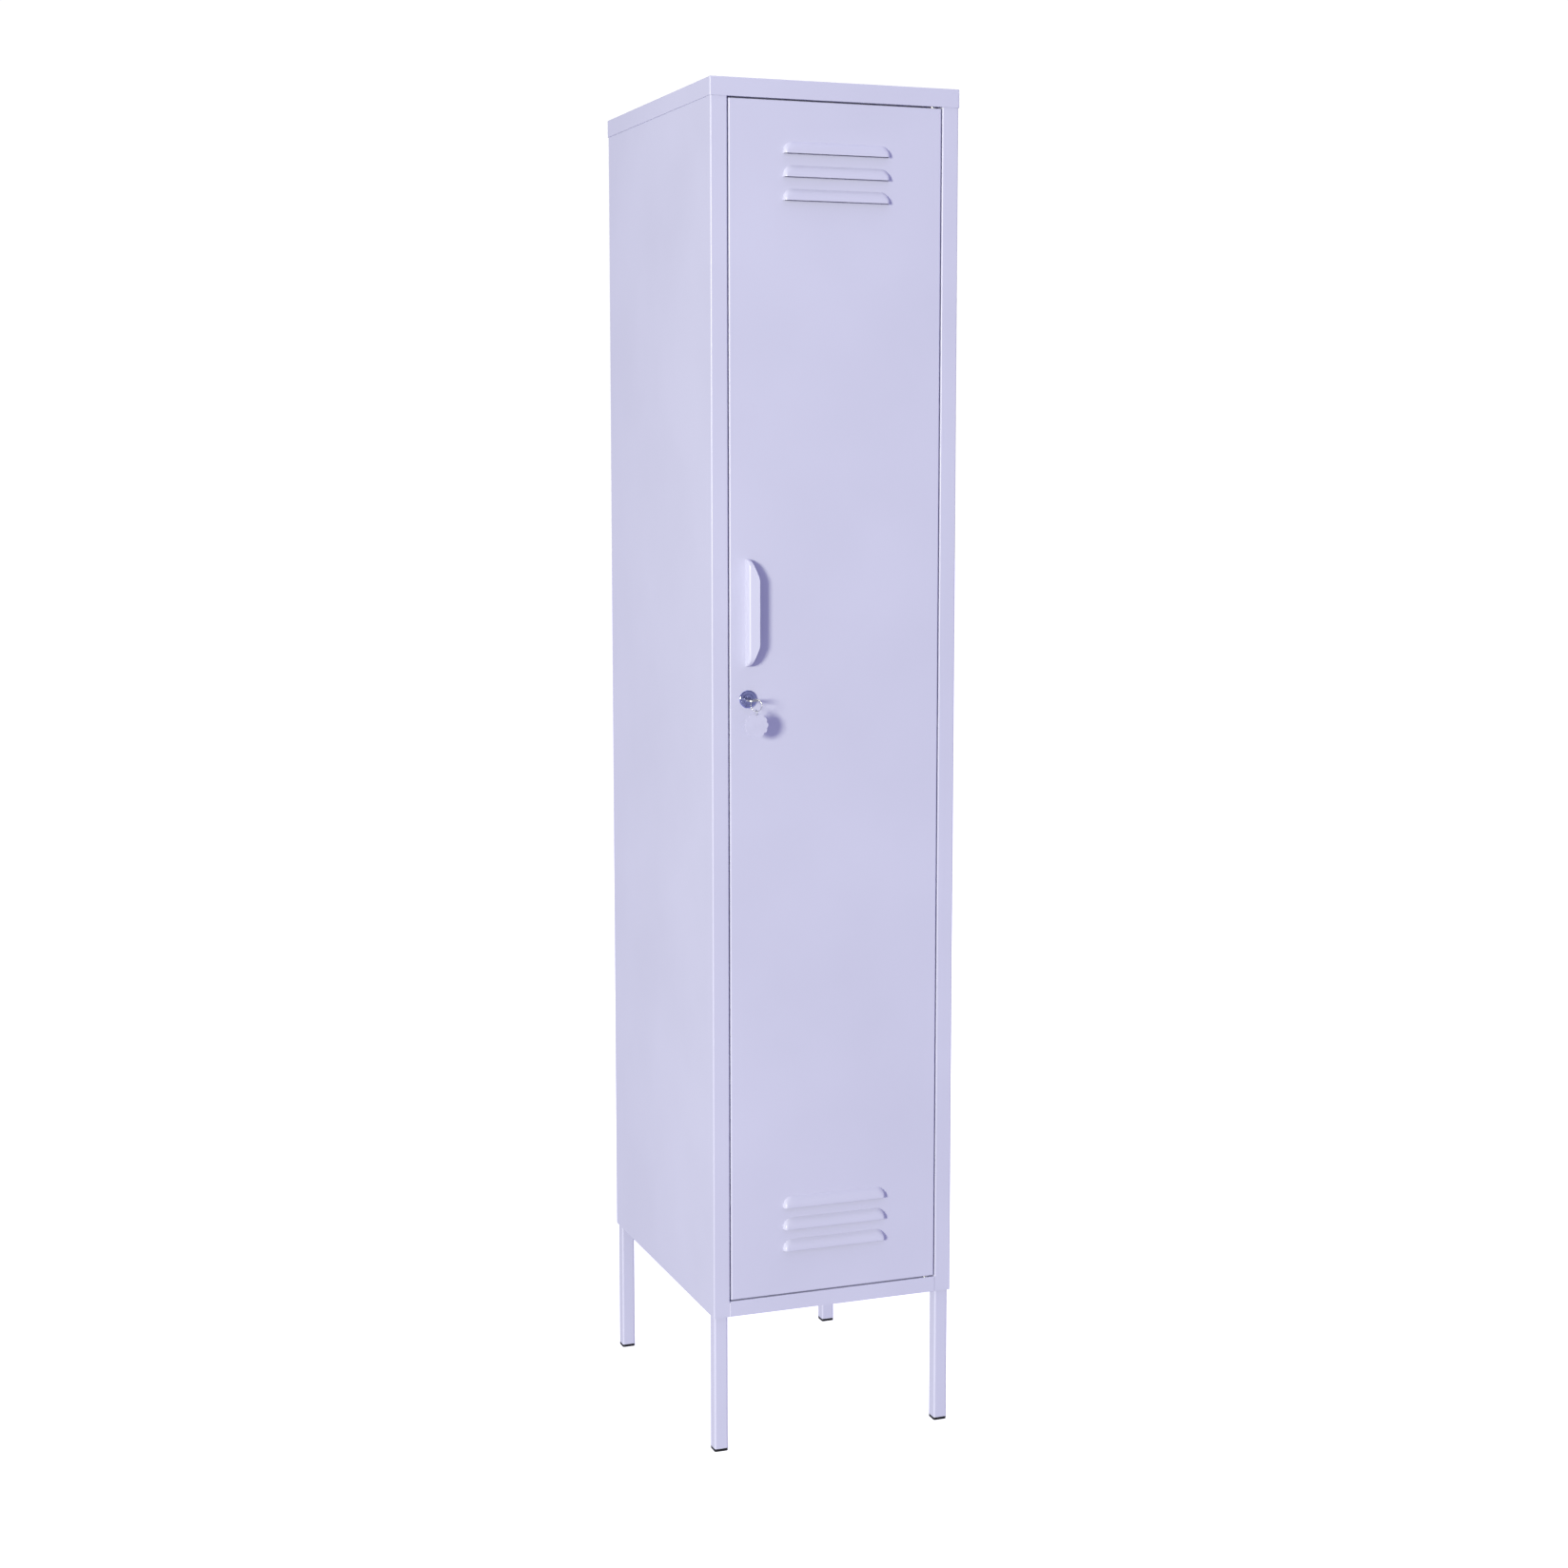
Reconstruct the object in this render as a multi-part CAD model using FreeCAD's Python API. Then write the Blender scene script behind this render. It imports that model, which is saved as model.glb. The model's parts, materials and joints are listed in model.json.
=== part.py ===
import FreeCAD, Part
import math
import os
from FreeCAD import Vector

# A tall, narrow steel locker with one louvred door, on four square legs.
# Millimetres. +Z is up and the door faces -Y, so +X is to the right of someone facing it.
# The origin is on the floor, under the middle of the whole outline, key included.

# ---- Overall sizes ---------------------------------------------------------
WIDTH = 350.0              # across the cap
DEPTH = 460.0              # front to back, over the cap
HEIGHT = 1830.0            # floor to the cap's top
LEG_HEIGHT = 189.0         # floor to the carcass

# ---- Sheet metal -----------------------------------------------------------
SHEET = 0.8                # carcass, cap, shelves and door
BEND = 0.8                 # inside radius of a fold
PAST = 1.0                 # how far a cutting tool runs past the metal

# ---- Carcass ---------------------------------------------------------------
CAP_SKIRT = 24.0           # how far the cap's skirt comes down
CAP_FIT = 0.2              # cap skirt to carcass
STILE = 23.0               # width of the front frame beside the door
STOP_LIP = 10.0            # what the door closes against
BACK_FLANGE = 15.0         # side panel's fold over the back panel
TOP_FLANGE = 15.0          # folds that carry the cap
FLANGE_SETBACK = 26.0      # top flange's start behind the front
TRAY_DROP = 21.0           # height of the base tray, and of the bottom rail
RAIL_END_GAP = 0.6         # bottom rail to the stiles

# ---- Door ------------------------------------------------------------------
DOOR_GAP = 1.75            # door edge to stile
DOOR_GAP_ENDS = 2.0        # door to tray and to header
DOOR_DEPTH = 18.0          # depth of the folded pan
DOOR_LIP = 12.0            # the pan's inward fold at the back
DOOR_STOP_GAP = 1.5        # pan to stop lip, filled by the bumpers
BUMPER_RADIUS = 4.0
BUMPER_THICKNESS = 1.2
BUMPER_END = 60.0          # top and bottom bumpers from the door's ends

# ---- Louvres ---------------------------------------------------------------
LOUVRE_LENGTH = 149.0
LOUVRE_HEIGHT = 15.0
LOUVRE_PROUD = 6.5
LOUVRE_CORNER = 12.0       # radius of its upper corners
LOUVRE_BELLY_OUT = 0.74    # its section passes through this share of its depth
LOUVRE_BELLY_UP = 0.62     # and this share of its height
LOUVRE_PITCH = 30.0
LOUVRE_COUNT = 3           # in each group
LOUVRE_TOP = 67.0          # first opening edge below the door's top
LOUVRE_BOTTOM = 61.0       # last opening edge above the door's bottom

# ---- Hinges ----------------------------------------------------------------
HINGE_EDGE = 10.0          # pin axis from the door's edge
HINGE_FRONT = 6.6          # pin axis behind the door's front
PIN_RADIUS = 3.0
PIN_LENGTH = 11.0          # into the door
PIN_BASE_RADIUS = 5.0
PIN_BASE = 1.4
PIN_HEAD = 1.5
PIN_CHAMFER = 1.0
RUNNING = 0.05             # radial clearance of every turning fit
BUSH_RADIUS = 4.2
BUSH_FLANGE_RADIUS = 5.0
BUSH_FLANGE = 1.2
BUSH_LENGTH = 9.0
BUSH_PROUD = 0.5           # the bush's end outside the door

# ---- Handle ----------------------------------------------------------------
HANDLE_LENGTH = 141.0
HANDLE_PROUD = 17.0        # at its free edge
HANDLE_WALL = 13.0         # height of its wall, where the lip starts
HANDLE_WIDTH = 14.4
HANDLE_LEAN = 0.5          # the wall's slope towards its free edge
HANDLE_SHEET = 1.2
HANDLE_ROUND = 3.0         # between the wall and the finger lip
HANDLE_END_ROUND = 15.0
HANDLE_TIP = 4.0           # the lip's width at both ends
HANDLE_TIP_ROUND = 2.0
HANDLE_TAPER = 26.0        # how far from its ends the lip narrows
HANDLE_TAPER_ROUND = 30.0
HANDLE_EDGE = 22.0         # from the door's free edge
HANDLE_ABOVE_LOCK = 43.5   # its lower end above the lock's axis
HANDLE_SCREW_PITCH = 96.0
SCREW_RADIUS = 2.0         # M4
SCREW_HEAD_RADIUS = 3.6
SCREW_HEAD = 2.2
SCREW_PAST = 1.0           # thread showing past its nut
NUT_FLATS = 7.0
NUT_HEIGHT = 3.2
HOLE_CLEARANCE = 0.2

# ---- Lock ------------------------------------------------------------------
LOCK_EDGE = 25.0           # axis from the door's free edge
LOCK_HEIGHT = 1028.0
LOCK_FLANGE_RADIUS = 12.0
LOCK_FLANGE = 2.4
BARREL_RADIUS = 8.0
PLUG_RADIUS = 6.2
PLUG_RECESS = 0.4          # plug face behind the flange's face
LOCK_NUT_FLATS = 20.0
LOCK_NUT_HEIGHT = 4.0
CAM_CLEARANCE = 1.0        # cam to the back of the stop lip
CAM_THICKNESS = 2.0
CAM_WIDTH = 13.0
CAM_REACH = 24.0
CAM_SQUARE = 6.0
CAM_ROUND = 2.2            # the tongue's corners
CAM_SCREW_FLATS = 9.0
CAM_SCREW_HEAD = 2.0

# ---- Key, ring and tag -----------------------------------------------------
KEY_THICKNESS = 1.8
KEY_BLADE_WIDTH = 7.6
KEY_BLADE = 17.0           # inside the plug
KEY_TIP_GAP = 1.0          # its tip to the end of the keyway
KEYWAY_FIT = 0.15
KEY_CUTS = (0.96, 1.6, 0.96, 1.6)   # depth of each cut, from the tip
KEY_CUT_PITCH = 3.2
NECK_WIDTH = 8.6
NECK = 8.0                 # shoulder to bow
BOW_RADIUS = 9.0
BOW_HOLE_WIDTH = 13.0
BOW_HOLE_LENGTH = 7.5
BOW_HOLE_ROUND = 0.45      # its corners, as a share of its length
BOW_RIM = 2.0              # in front of the hole
RING_RADIUS = 8.0          # middle of the wire
RING_WIRE = 0.65
RING_ABOVE = 2.2           # the wire's top above the key
RING_BEHIND = 1.5          # where the wire passes the bow, behind the hole's middle
RING_TURN = 45.0           # ring's plane from the lock's axis, towards the hinge side
JUMP_RADIUS = 3.2
JUMP_WIRE = 0.45
LINK_GAP = 0.6
TAG_RADIUS = 16.5
TAG_SCALLOPS = 12
TAG_SCALLOP_DEPTH = 1.6
TAG_THICKNESS = 1.5
TAG_HOLE_RADIUS = 2.0
TAG_HOLE_RIM = 1.6

# ---- Legs and feet ---------------------------------------------------------
LEG_SIZE = 19.0
LEG_WALL = 1.2
LEG_CORNER = 2.5
LEG_SIDE_INSET = 2.0       # from the carcass's sides
LEG_FRONT_INSET = 4.0      # from its front and back
FOOT_HEIGHT = 4.0          # visible black cap
FOOT_PLUG = 14.0           # inside the tube
FOOT_FIT = 0.1
LEG_PLATE = 54.0
LEG_PLATE_THICKNESS = 2.5
BOLT_NEAR = 12.0           # bolt positions from the leg's outer faces
BOLT_FAR = 40.0
BOLT_RADIUS = 3.0          # M6
BOLT_FLATS = 10.0
BOLT_HEAD = 4.0
BOLT_PAST = 1.0            # thread showing past its nut
WELD_NUT_HEIGHT = 5.0

# ---- Inside ----------------------------------------------------------------
UPRIGHT_WIDTH = 20.0
UPRIGHT_DEPTH = 6.0
UPRIGHT_INSET = 62.0       # its middle from the carcass's front or back
UPRIGHT_END = 20.0         # clear of the floor and of the top
SLOT_PITCH = 50.0
SLOT_WIDTH = 9.0
SLOT_HEIGHT = 4.0
SHELF_SIDE_GAP = 1.0
SHELF_FRONT = 32.0         # behind the door's front
SHELF_BACK_GAP = 4.0
SHELF_FRONT_LIP = 20.0
SHELF_HEM = 8.0
SHELF_BACK_LIP = 15.0
LOWER_SLOT = 5             # shelves sit in these slots, counted up
MIDDLE_SLOT = 11
HAT_SLOT_FROM_TOP = 5      # and this one, counted down
CLIP_WIDTH = 8.0
CLIP_SHEET = 1.5
CLIP_ARM = 11.0
CLIP_LEG = 12.0
CLIP_TONGUE = 3.0
RAIL_RADIUS = 11.0
RAIL_WALL = 1.2
RAIL_DROP = 50.0           # rail axis under the hat shelf's top
RAIL_FIT = 0.1
BRACKET_SHEET = 2.5
BRACKET_INSET = 14.0       # from the shelf's ends
BRACKET_FOOT = 16.0
BRACKET_WIDTH = 34.0
BRACKET_SCREW_PITCH = 20.0
HOOK_DROP = 120.0          # hooks under the hat shelf
HOOK_SPREAD = 80.0         # from the middle
HOOK_PLATE_WIDTH = 22.0
HOOK_PLATE_HEIGHT = 54.0
HOOK_PLATE = 2.0
HOOK_ROD = 3.2
HOOK_REACH = 34.0
HOOK_RISE = 22.0
HOOK_TURN = 12.0
HOOK_BALL = 5.0
RIVET_RADIUS = 2.0
RIVET_HEAD_RADIUS = 3.8
RIVET_HEAD = 1.2
RIVET_BLIND_HEAD = 0.4     # behind the back panel
RIVET_SPREAD = 18.0
STIFFENER_WIDTH = 32.0
STIFFENER_TOP = 16.0
STIFFENER_DEPTH = 14.0
STIFFENER_CLEAR = 18.0     # from the door's ends
STIFFENER_LOCK_GAP = 3.7   # from the corner of the lock's nut
KEEPER_WIDTH = 15.0
KEEPER_HEIGHT = 30.0
KEEPER_THICKNESS = 1.5
MAGNET_GAP = 0.4
CATCH_WIDTH = 26.0
CATCH_HEIGHT = 14.0
CATCH_EAR = 9.0
CATCH_EAR_THICKNESS = 2.5
MAGNET_WIDTH = 14.0
MAGNET_HEIGHT = 9.0
MAGNET_DEPTH = 3.0
GROMMET_BORE = 10.0
GROMMET_WALL = 3.0
GROMMET_LIP = 3.5
GROMMET_LIP_THICKNESS = 1.6
GROMMET_FROM_SIDE = 72.0
GROMMET_FROM_TOP = 130.0
WALL_HOLE_RADIUS = 3.25
WALL_HOLE_SPACING = 200.0
WALL_HOLE_FROM_TOP = 60.0

# ---- Planes worked out from the sizes --------------------------------------
bow_centre = LOCK_FLANGE + NECK + BOW_RADIUS            # in front of the door
key_reach = bow_centre + BOW_RADIUS
cap_front = -(DEPTH - key_reach) / 2
cap_back = cap_front + DEPTH
front = cap_front + SHEET + CAP_FIT                     # face of stiles and door
back = cap_back - SHEET - CAP_FIT
half = WIDTH / 2 - SHEET - CAP_FIT                      # carcass's outside
inside = half - SHEET
opening = half - STILE                                  # half the door opening
cap_bottom = HEIGHT - CAP_SKIRT
carcass_top = HEIGHT - SHEET
floor_z = LEG_HEIGHT + TRAY_DROP                        # top of the base tray
stop_y = front + DOOR_DEPTH + DOOR_STOP_GAP             # face of the stop lip
stop_bottom = cap_bottom - STOP_LIP                     # header's stop lip
door_half = opening - DOOR_GAP
door_bottom = floor_z + DOOR_GAP_ENDS
door_top = cap_bottom - DOOR_GAP_ENDS
door_back = front + DOOR_DEPTH
hinge = Vector(door_half - HINGE_EDGE, front + HINGE_FRONT, 0)
lock = Vector(LOCK_EDGE - door_half, front, LOCK_HEIGHT)
handle_low = LOCK_HEIGHT + HANDLE_ABOVE_LOCK
handle_high = handle_low + HANDLE_LENGTH
cam_front = stop_y + SHEET + CAM_CLEARANCE
keyway_end = KEY_BLADE + KEY_TIP_GAP                    # behind the door's front
back_panel_face = back - 2 * SHEET                      # its inner face
upright_face = inside - UPRIGHT_DEPTH
upright_bottom = floor_z + UPRIGHT_END
upright_top = cap_bottom - UPRIGHT_END
slot_count = int((upright_top - upright_bottom) / SLOT_PITCH)
shelf_half = upright_face - SHELF_SIDE_GAP
shelf_front = front + SHELF_FRONT
shelf_back = back_panel_face - SHELF_BACK_GAP

exported = []


# ---- Helpers ---------------------------------------------------------------
def save(name, *solids):
    """Writes one node, of one or more separate solids."""
    shape = solids[0] if len(solids) == 1 else Part.makeCompound(list(solids))
    shape.exportStep("parts/" + name + ".step")
    exported.append(name)
    print(name, "solids", len(shape.Solids), "volume", round(shape.Volume, 1), "valid", shape.isValid())


def box(x, y, z):
    """A block between three pairs of limits."""
    return Part.makeBox(x[1] - x[0], y[1] - y[0], z[1] - z[0], Vector(x[0], y[0], z[0]))


def rod(radius, start, end):
    """A round bar between two points."""
    along = end - start
    return Part.makeCylinder(radius, along.Length, start, along)


def hexagon(flats, start, end):
    """A hexagonal bar between two points."""
    along = end - start
    corners = []
    for i in range(7):
        angle = math.radians(60 * i)
        corners.append(Vector(math.cos(angle), math.sin(angle), 0) * (flats / math.sqrt(3)))
    prism = Part.Face(Part.makePolygon(corners)).extrude(Vector(0, 0, along.Length))
    prism.Placement = FreeCAD.Placement(start, FreeCAD.Rotation(Vector(0, 0, 1), along))
    return prism


def joined(solids):
    """One solid from pieces that meet."""
    return solids[0].multiFuse(solids[1:]).removeSplitter()


def mirrored(shape):
    """The same piece on the other side of the locker."""
    return shape.mirror(Vector(0, 0, 0), Vector(1, 0, 0))


def facing_side(shape):
    """Turns a plan drawn in X and Y so that it reads as Y and Z, and its height as X."""
    shape.rotate(Vector(0, 0, 0), Vector(1, 1, 1), 120)
    return shape


def facing_front(shape):
    """Turns a plan drawn in X and Y so that it reads as X and Z, and its height as -Y."""
    shape.rotate(Vector(0, 0, 0), Vector(1, 0, 0), 90)
    return shape


def left_of(direction):
    return Vector(-direction.y, direction.x, 0)


def rounded_run(points, radii):
    """Straight edges through the points, with an arc of its own radius at each inner one."""
    edges = []
    here = points[0]
    for i in range(1, len(points) - 1):
        before = (points[i] - points[i - 1]).normalize()
        after = (points[i + 1] - points[i]).normalize()
        side = left_of(before) if left_of(before).dot(after) > 0 else left_of(before) * -1
        reach = radii[i - 1] * math.tan(before.getAngle(after) / 2)
        start = points[i] - before * reach
        end = points[i] + after * reach
        edges.append(Part.makeLine(here, start))
        if radii[i - 1] > 0:
            centre = start + side * radii[i - 1]
            middle = centre + (points[i] - centre).normalize() * radii[i - 1]
            edges.append(Part.Arc(start, middle, end).toShape())
        here = end
    edges.append(Part.makeLine(here, points[-1]))
    return edges


def rounded_plate(corners, radii, low, high):
    """A plate with its own radius at each corner; the outline starts at a square corner."""
    points = [Vector(x, y, low) for x, y in corners + corners[:1]]
    wire = Part.Wire(rounded_run(points, radii))
    return Part.Face(wire).extrude(Vector(0, 0, high - low))


def folded(points, low, high, thickness=SHEET, bends=None):
    """Sheet folded along a line, lying on the left of the line, from low to high."""
    line = [Vector(x, y, low) for x, y in points]
    bends = bends or [BEND] * (len(points) - 2)
    near = []
    far = []
    offset = [line[0] + left_of((line[1] - line[0]).normalize()) * thickness]
    for i in range(1, len(line) - 1):
        before = (line[i] - line[i - 1]).normalize()
        after = (line[i + 1] - line[i]).normalize()
        turns_left = left_of(before).dot(after) > 0
        near.append(bends[i - 1] + (thickness if turns_left else 0))
        far.append(bends[i - 1] + (0 if turns_left else thickness))
        both = left_of(before) + left_of(after)
        offset.append(line[i] + both * (thickness / (1 + before.dot(after))))
    offset.append(line[-1] + left_of((line[-1] - line[-2]).normalize()) * thickness)
    edges = rounded_run(line, near)
    edges.append(Part.makeLine(line[-1], offset[-1]))
    edges += rounded_run(offset, far)
    edges.append(Part.makeLine(offset[0], line[0]))
    return Part.Face(Part.Wire(Part.__sortEdges__(edges))).extrude(Vector(0, 0, high - low))


def softened(shape, radius, chosen):
    """Rounds the edges that the chosen test picks."""
    return shape.makeFillet(radius, [edge for edge in shape.Edges if chosen(edge)])


def runs_along(edge, axis):
    box_of = edge.BoundBox
    lengths = {"x": box_of.XLength, "y": box_of.YLength, "z": box_of.ZLength}
    return all(lengths[key] < 1e-6 for key in lengths if key != axis)


# ---- Carcass ---------------------------------------------------------------
def side_panel(stop_lip):
    """Left side in one sheet: back flange, side, front stile, jamb and, on the lock's side, a stop lip."""
    shell = [(BACK_FLANGE - half, back), (-half, back), (-half, front), (-opening, front)]
    jamb = shell + [(-opening, stop_y)]
    pieces = [folded(shell, LEG_HEIGHT, floor_z), folded(jamb, floor_z, carcass_top)]
    if stop_lip:
        with_lip = jamb + [(STOP_LIP - opening, stop_y)]
        pieces = [pieces[0], folded(with_lip, floor_z, stop_bottom), folded(jamb, stop_bottom, carcass_top)]
    pieces.append(box((-inside, TOP_FLANGE - half), (front + FLANGE_SETBACK, back - FLANGE_SETBACK),
                      (carcass_top - SHEET, carcass_top)))
    envelope = box((-half, half), (front, back), (LEG_HEIGHT, carcass_top))
    top_edges = [edge for edge in envelope.Edges if edge.BoundBox.ZMin > LEG_HEIGHT + PAST]
    return joined(pieces).common(envelope.makeFillet(BEND, top_edges))


def top_cap():
    """A lid with a skirt all round, that covers the tops of the panels."""
    outer = box((-WIDTH / 2, WIDTH / 2), (cap_front, cap_back), (cap_bottom, HEIGHT))
    inner = box((SHEET - WIDTH / 2, WIDTH / 2 - SHEET), (cap_front + SHEET, cap_back - SHEET),
                (cap_bottom - PAST, carcass_top))
    outer = softened(outer, BEND + SHEET, lambda e: e.BoundBox.ZMax > cap_bottom + 1e-6)
    inner = softened(inner, BEND, lambda e: e.BoundBox.ZMax > cap_bottom)
    return outer.cut(inner)


def header_rail():
    """Rail over the door: a top flange, a face behind the cap's skirt, a ledge and a stop lip."""
    profile = [(front + TOP_FLANGE, carcass_top), (front, carcass_top), (front, cap_bottom),
               (stop_y, cap_bottom), (stop_y, stop_bottom)]
    rail = facing_side(folded(profile, -opening, opening))
    hinge_end = box((hinge.x - DOOR_DEPTH, opening), (stop_y - BEND, stop_y + SHEET + BEND),
                    (stop_bottom, cap_bottom + SHEET))
    pin_hole = rod(PIN_RADIUS + RUNNING, hinge + Vector(0, 0, cap_bottom - PAST),
                   hinge + Vector(0, 0, cap_bottom + SHEET + PAST))
    return rail.cut(hinge_end).cut(pin_hole)


def base_tray():
    """Locker floor: a plate with a skirt on all sides, whose front skirt is the bottom rail."""
    pan = box((-inside, inside), (front + SHEET, back - SHEET), (LEG_HEIGHT, floor_z))
    pan = softened(pan, BEND, lambda e: runs_along(e, "z"))
    hollow = box((SHEET - inside, inside - SHEET), (front, back - 2 * SHEET),
                 (LEG_HEIGHT - PAST, floor_z - SHEET))
    front_skirt = facing_side(folded([(front + TRAY_DROP, floor_z), (front, floor_z), (front, LEG_HEIGHT)],
                                     RAIL_END_GAP - opening, opening - RAIL_END_GAP))
    tray = joined([pan.cut(hollow), front_skirt])
    return tray.cut(Part.makeCompound(bolt_holes(floor_z - 2 * SHEET, floor_z + PAST)))


def back_panel():
    """Flat sheet inside the side panels' back flanges, with its cable and wall-fixing holes."""
    panel = box((BEND - inside, inside - BEND), (back_panel_face, back - SHEET),
                (floor_z, carcass_top - SHEET))
    through = Vector(0, SHEET + PAST, 0)
    holes = [rod(GROMMET_BORE + GROMMET_WALL, cable_hole() - through, cable_hole() + through)]
    for x in (-WALL_HOLE_SPACING / 2, WALL_HOLE_SPACING / 2):
        at = Vector(x, back_panel_face, HEIGHT - WALL_HOLE_FROM_TOP)
        holes.append(rod(WALL_HOLE_RADIUS, at - through, at + through))
    for at in rivet_places():
        holes.append(rod(RIVET_RADIUS, at - through, at + through))
    return panel.cut(Part.makeCompound(holes))


def cable_hole():
    return Vector(inside - GROMMET_FROM_SIDE, back_panel_face, HEIGHT - GROMMET_FROM_TOP)


def cable_grommet():
    """Rubber ring that snaps into the back panel's cable hole."""
    at = cable_hole()
    lip = Vector(0, GROMMET_LIP_THICKNESS, 0)
    sheet = Vector(0, SHEET, 0)
    body = rod(GROMMET_BORE + GROMMET_WALL, at - lip, at + sheet + lip)
    inner_lip = rod(GROMMET_BORE + GROMMET_WALL + GROMMET_LIP, at - lip, at)
    outer_lip = rod(GROMMET_BORE + GROMMET_WALL + GROMMET_LIP, at + sheet, at + sheet + lip)
    bore = rod(GROMMET_BORE, at - lip * 2, at + sheet + lip * 2)
    ring = joined([body, inner_lip, outer_lip]).cut(bore)
    return softened(ring, GROMMET_LIP_THICKNESS / 3,
                    lambda e: abs(e.BoundBox.XLength / 2 - GROMMET_BORE - GROMMET_WALL - GROMMET_LIP) < 1e-3)


# ---- Legs ------------------------------------------------------------------
def leg_corners():
    """Outer corner of each leg, and the directions from it into the locker."""
    x = half - LEG_SIDE_INSET
    near = front + LEG_FRONT_INSET
    far = back - LEG_FRONT_INSET
    return {
        "front_left": (Vector(-x, near, 0), 1, 1),
        "front_right": (Vector(x, near, 0), -1, 1),
        "rear_left": (Vector(-x, far, 0), 1, -1),
        "rear_right": (Vector(x, far, 0), -1, -1),
    }


def bolt_places():
    places = []
    for corner, x_in, y_in in leg_corners().values():
        for reach in (BOLT_NEAR, BOLT_FAR):
            places.append(corner + Vector(x_in * reach, y_in * BOLT_FAR, 0))
    return places


def bolt_holes(low, high):
    radius = BOLT_RADIUS + HOLE_CLEARANCE
    return [rod(radius, at + Vector(0, 0, low), at + Vector(0, 0, high)) for at in bolt_places()]


def square_bar(corner, x_in, y_in, inset, radius, low, high):
    """Upright square bar with rounded corners, its outside set in from the leg's outer corner."""
    x = sorted((corner.x + x_in * inset, corner.x + x_in * (LEG_SIZE - inset)))
    y = sorted((corner.y + y_in * inset, corner.y + y_in * (LEG_SIZE - inset)))
    return softened(box(x, y, (low, high)), radius, lambda e: runs_along(e, "z"))


def leg(corner, x_in, y_in):
    """Square tube welded under a square plate."""
    plate_top = floor_z - SHEET
    plate_bottom = plate_top - LEG_PLATE_THICKNESS
    x = sorted((corner.x, corner.x + x_in * LEG_PLATE))
    y = sorted((corner.y, corner.y + y_in * LEG_PLATE))
    plate = box(x, y, (plate_bottom, plate_top))
    tube = square_bar(corner, x_in, y_in, 0, LEG_CORNER, FOOT_HEIGHT, plate_bottom)
    hollow = square_bar(corner, x_in, y_in, LEG_WALL, LEG_CORNER - LEG_WALL, FOOT_HEIGHT, plate_bottom)
    holes = Part.makeCompound(bolt_holes(plate_bottom - PAST, plate_top + PAST))
    return joined([tube.cut(hollow), plate.cut(holes)])


def foot(corner, x_in, y_in):
    """Plastic cap under the tube, with a plug inside it."""
    cap = square_bar(corner, x_in, y_in, 0, LEG_CORNER, 0, FOOT_HEIGHT)
    fit = LEG_WALL + FOOT_FIT
    plug = square_bar(corner, x_in, y_in, fit, LEG_CORNER - LEG_WALL, FOOT_HEIGHT, FOOT_HEIGHT + FOOT_PLUG)
    return joined([cap, plug])


def leg_bolts():
    """Hexagon bolts, put in from below."""
    under = floor_z - SHEET - LEG_PLATE_THICKNESS
    bolts = []
    for at in bolt_places():
        head = hexagon(BOLT_FLATS, at + Vector(0, 0, under - BOLT_HEAD), at + Vector(0, 0, under))
        shank = rod(BOLT_RADIUS, at + Vector(0, 0, under - BOLT_HEAD / 2),
                    at + Vector(0, 0, floor_z + WELD_NUT_HEIGHT + BOLT_PAST))
        bolts.append(joined([head, shank]))
    return bolts


def leg_weld_nuts():
    nuts = []
    for at in bolt_places():
        low = at + Vector(0, 0, floor_z)
        high = at + Vector(0, 0, floor_z + WELD_NUT_HEIGHT)
        nuts.append(hexagon(BOLT_FLATS, low, high).cut(rod(BOLT_RADIUS + RUNNING, low, high)))
    return nuts


# ---- Shelves and what carries them -----------------------------------------
def slot_z(number):
    return upright_bottom + SLOT_PITCH * (number + 0.5)


def upright(y_middle):
    """Slotted channel on the left side panel."""
    low = y_middle - UPRIGHT_WIDTH / 2
    high = y_middle + UPRIGHT_WIDTH / 2
    channel = folded([(-inside, low), (-upright_face, low), (-upright_face, high), (-inside, high)],
                     upright_bottom, upright_top)
    slots = []
    for number in range(slot_count):
        slots.append(box((-upright_face - SHEET - BEND, -upright_face + PAST),
                         (y_middle - SLOT_WIDTH / 2, y_middle + SLOT_WIDTH / 2),
                         (slot_z(number) - SLOT_HEIGHT / 2, slot_z(number) + SLOT_HEIGHT / 2)))
    return channel.cut(Part.makeCompound(slots))


def clip(y_middle, z_slot):
    """Bent clip hooked in a slot of the left uprights: tongue, leg and the arm that the shelf sits on."""
    y = (y_middle - CLIP_WIDTH / 2, y_middle + CLIP_WIDTH / 2)
    arm_top = z_slot + CLIP_SHEET / 2
    tongue = box((-upright_face - SHEET - CLIP_TONGUE, -upright_face), y, (arm_top - CLIP_SHEET, arm_top))
    hook = box((-upright_face - SHEET - CLIP_TONGUE, -upright_face - SHEET - CLIP_TONGUE + CLIP_SHEET), y,
               (arm_top - CLIP_LEG / 2, arm_top))
    arm = box((-upright_face, CLIP_ARM - upright_face), y, (arm_top - CLIP_SHEET, arm_top))
    leg_of = box((-upright_face, CLIP_SHEET - upright_face), y, (arm_top - CLIP_LEG, arm_top))
    return joined([tongue, hook, arm, leg_of])


def shelf_top(z_slot):
    return z_slot + CLIP_SHEET / 2 + SHEET


def shelf(z_slot):
    """Plate folded down in front, with a hem, and at the back."""
    top = shelf_top(z_slot)
    profile = [(shelf_back, top - SHELF_BACK_LIP), (shelf_back, top), (shelf_front, top),
               (shelf_front, top - SHELF_FRONT_LIP), (shelf_front + SHELF_HEM, top - SHELF_FRONT_LIP)]
    return facing_side(folded(profile, -shelf_half, shelf_half))


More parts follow.
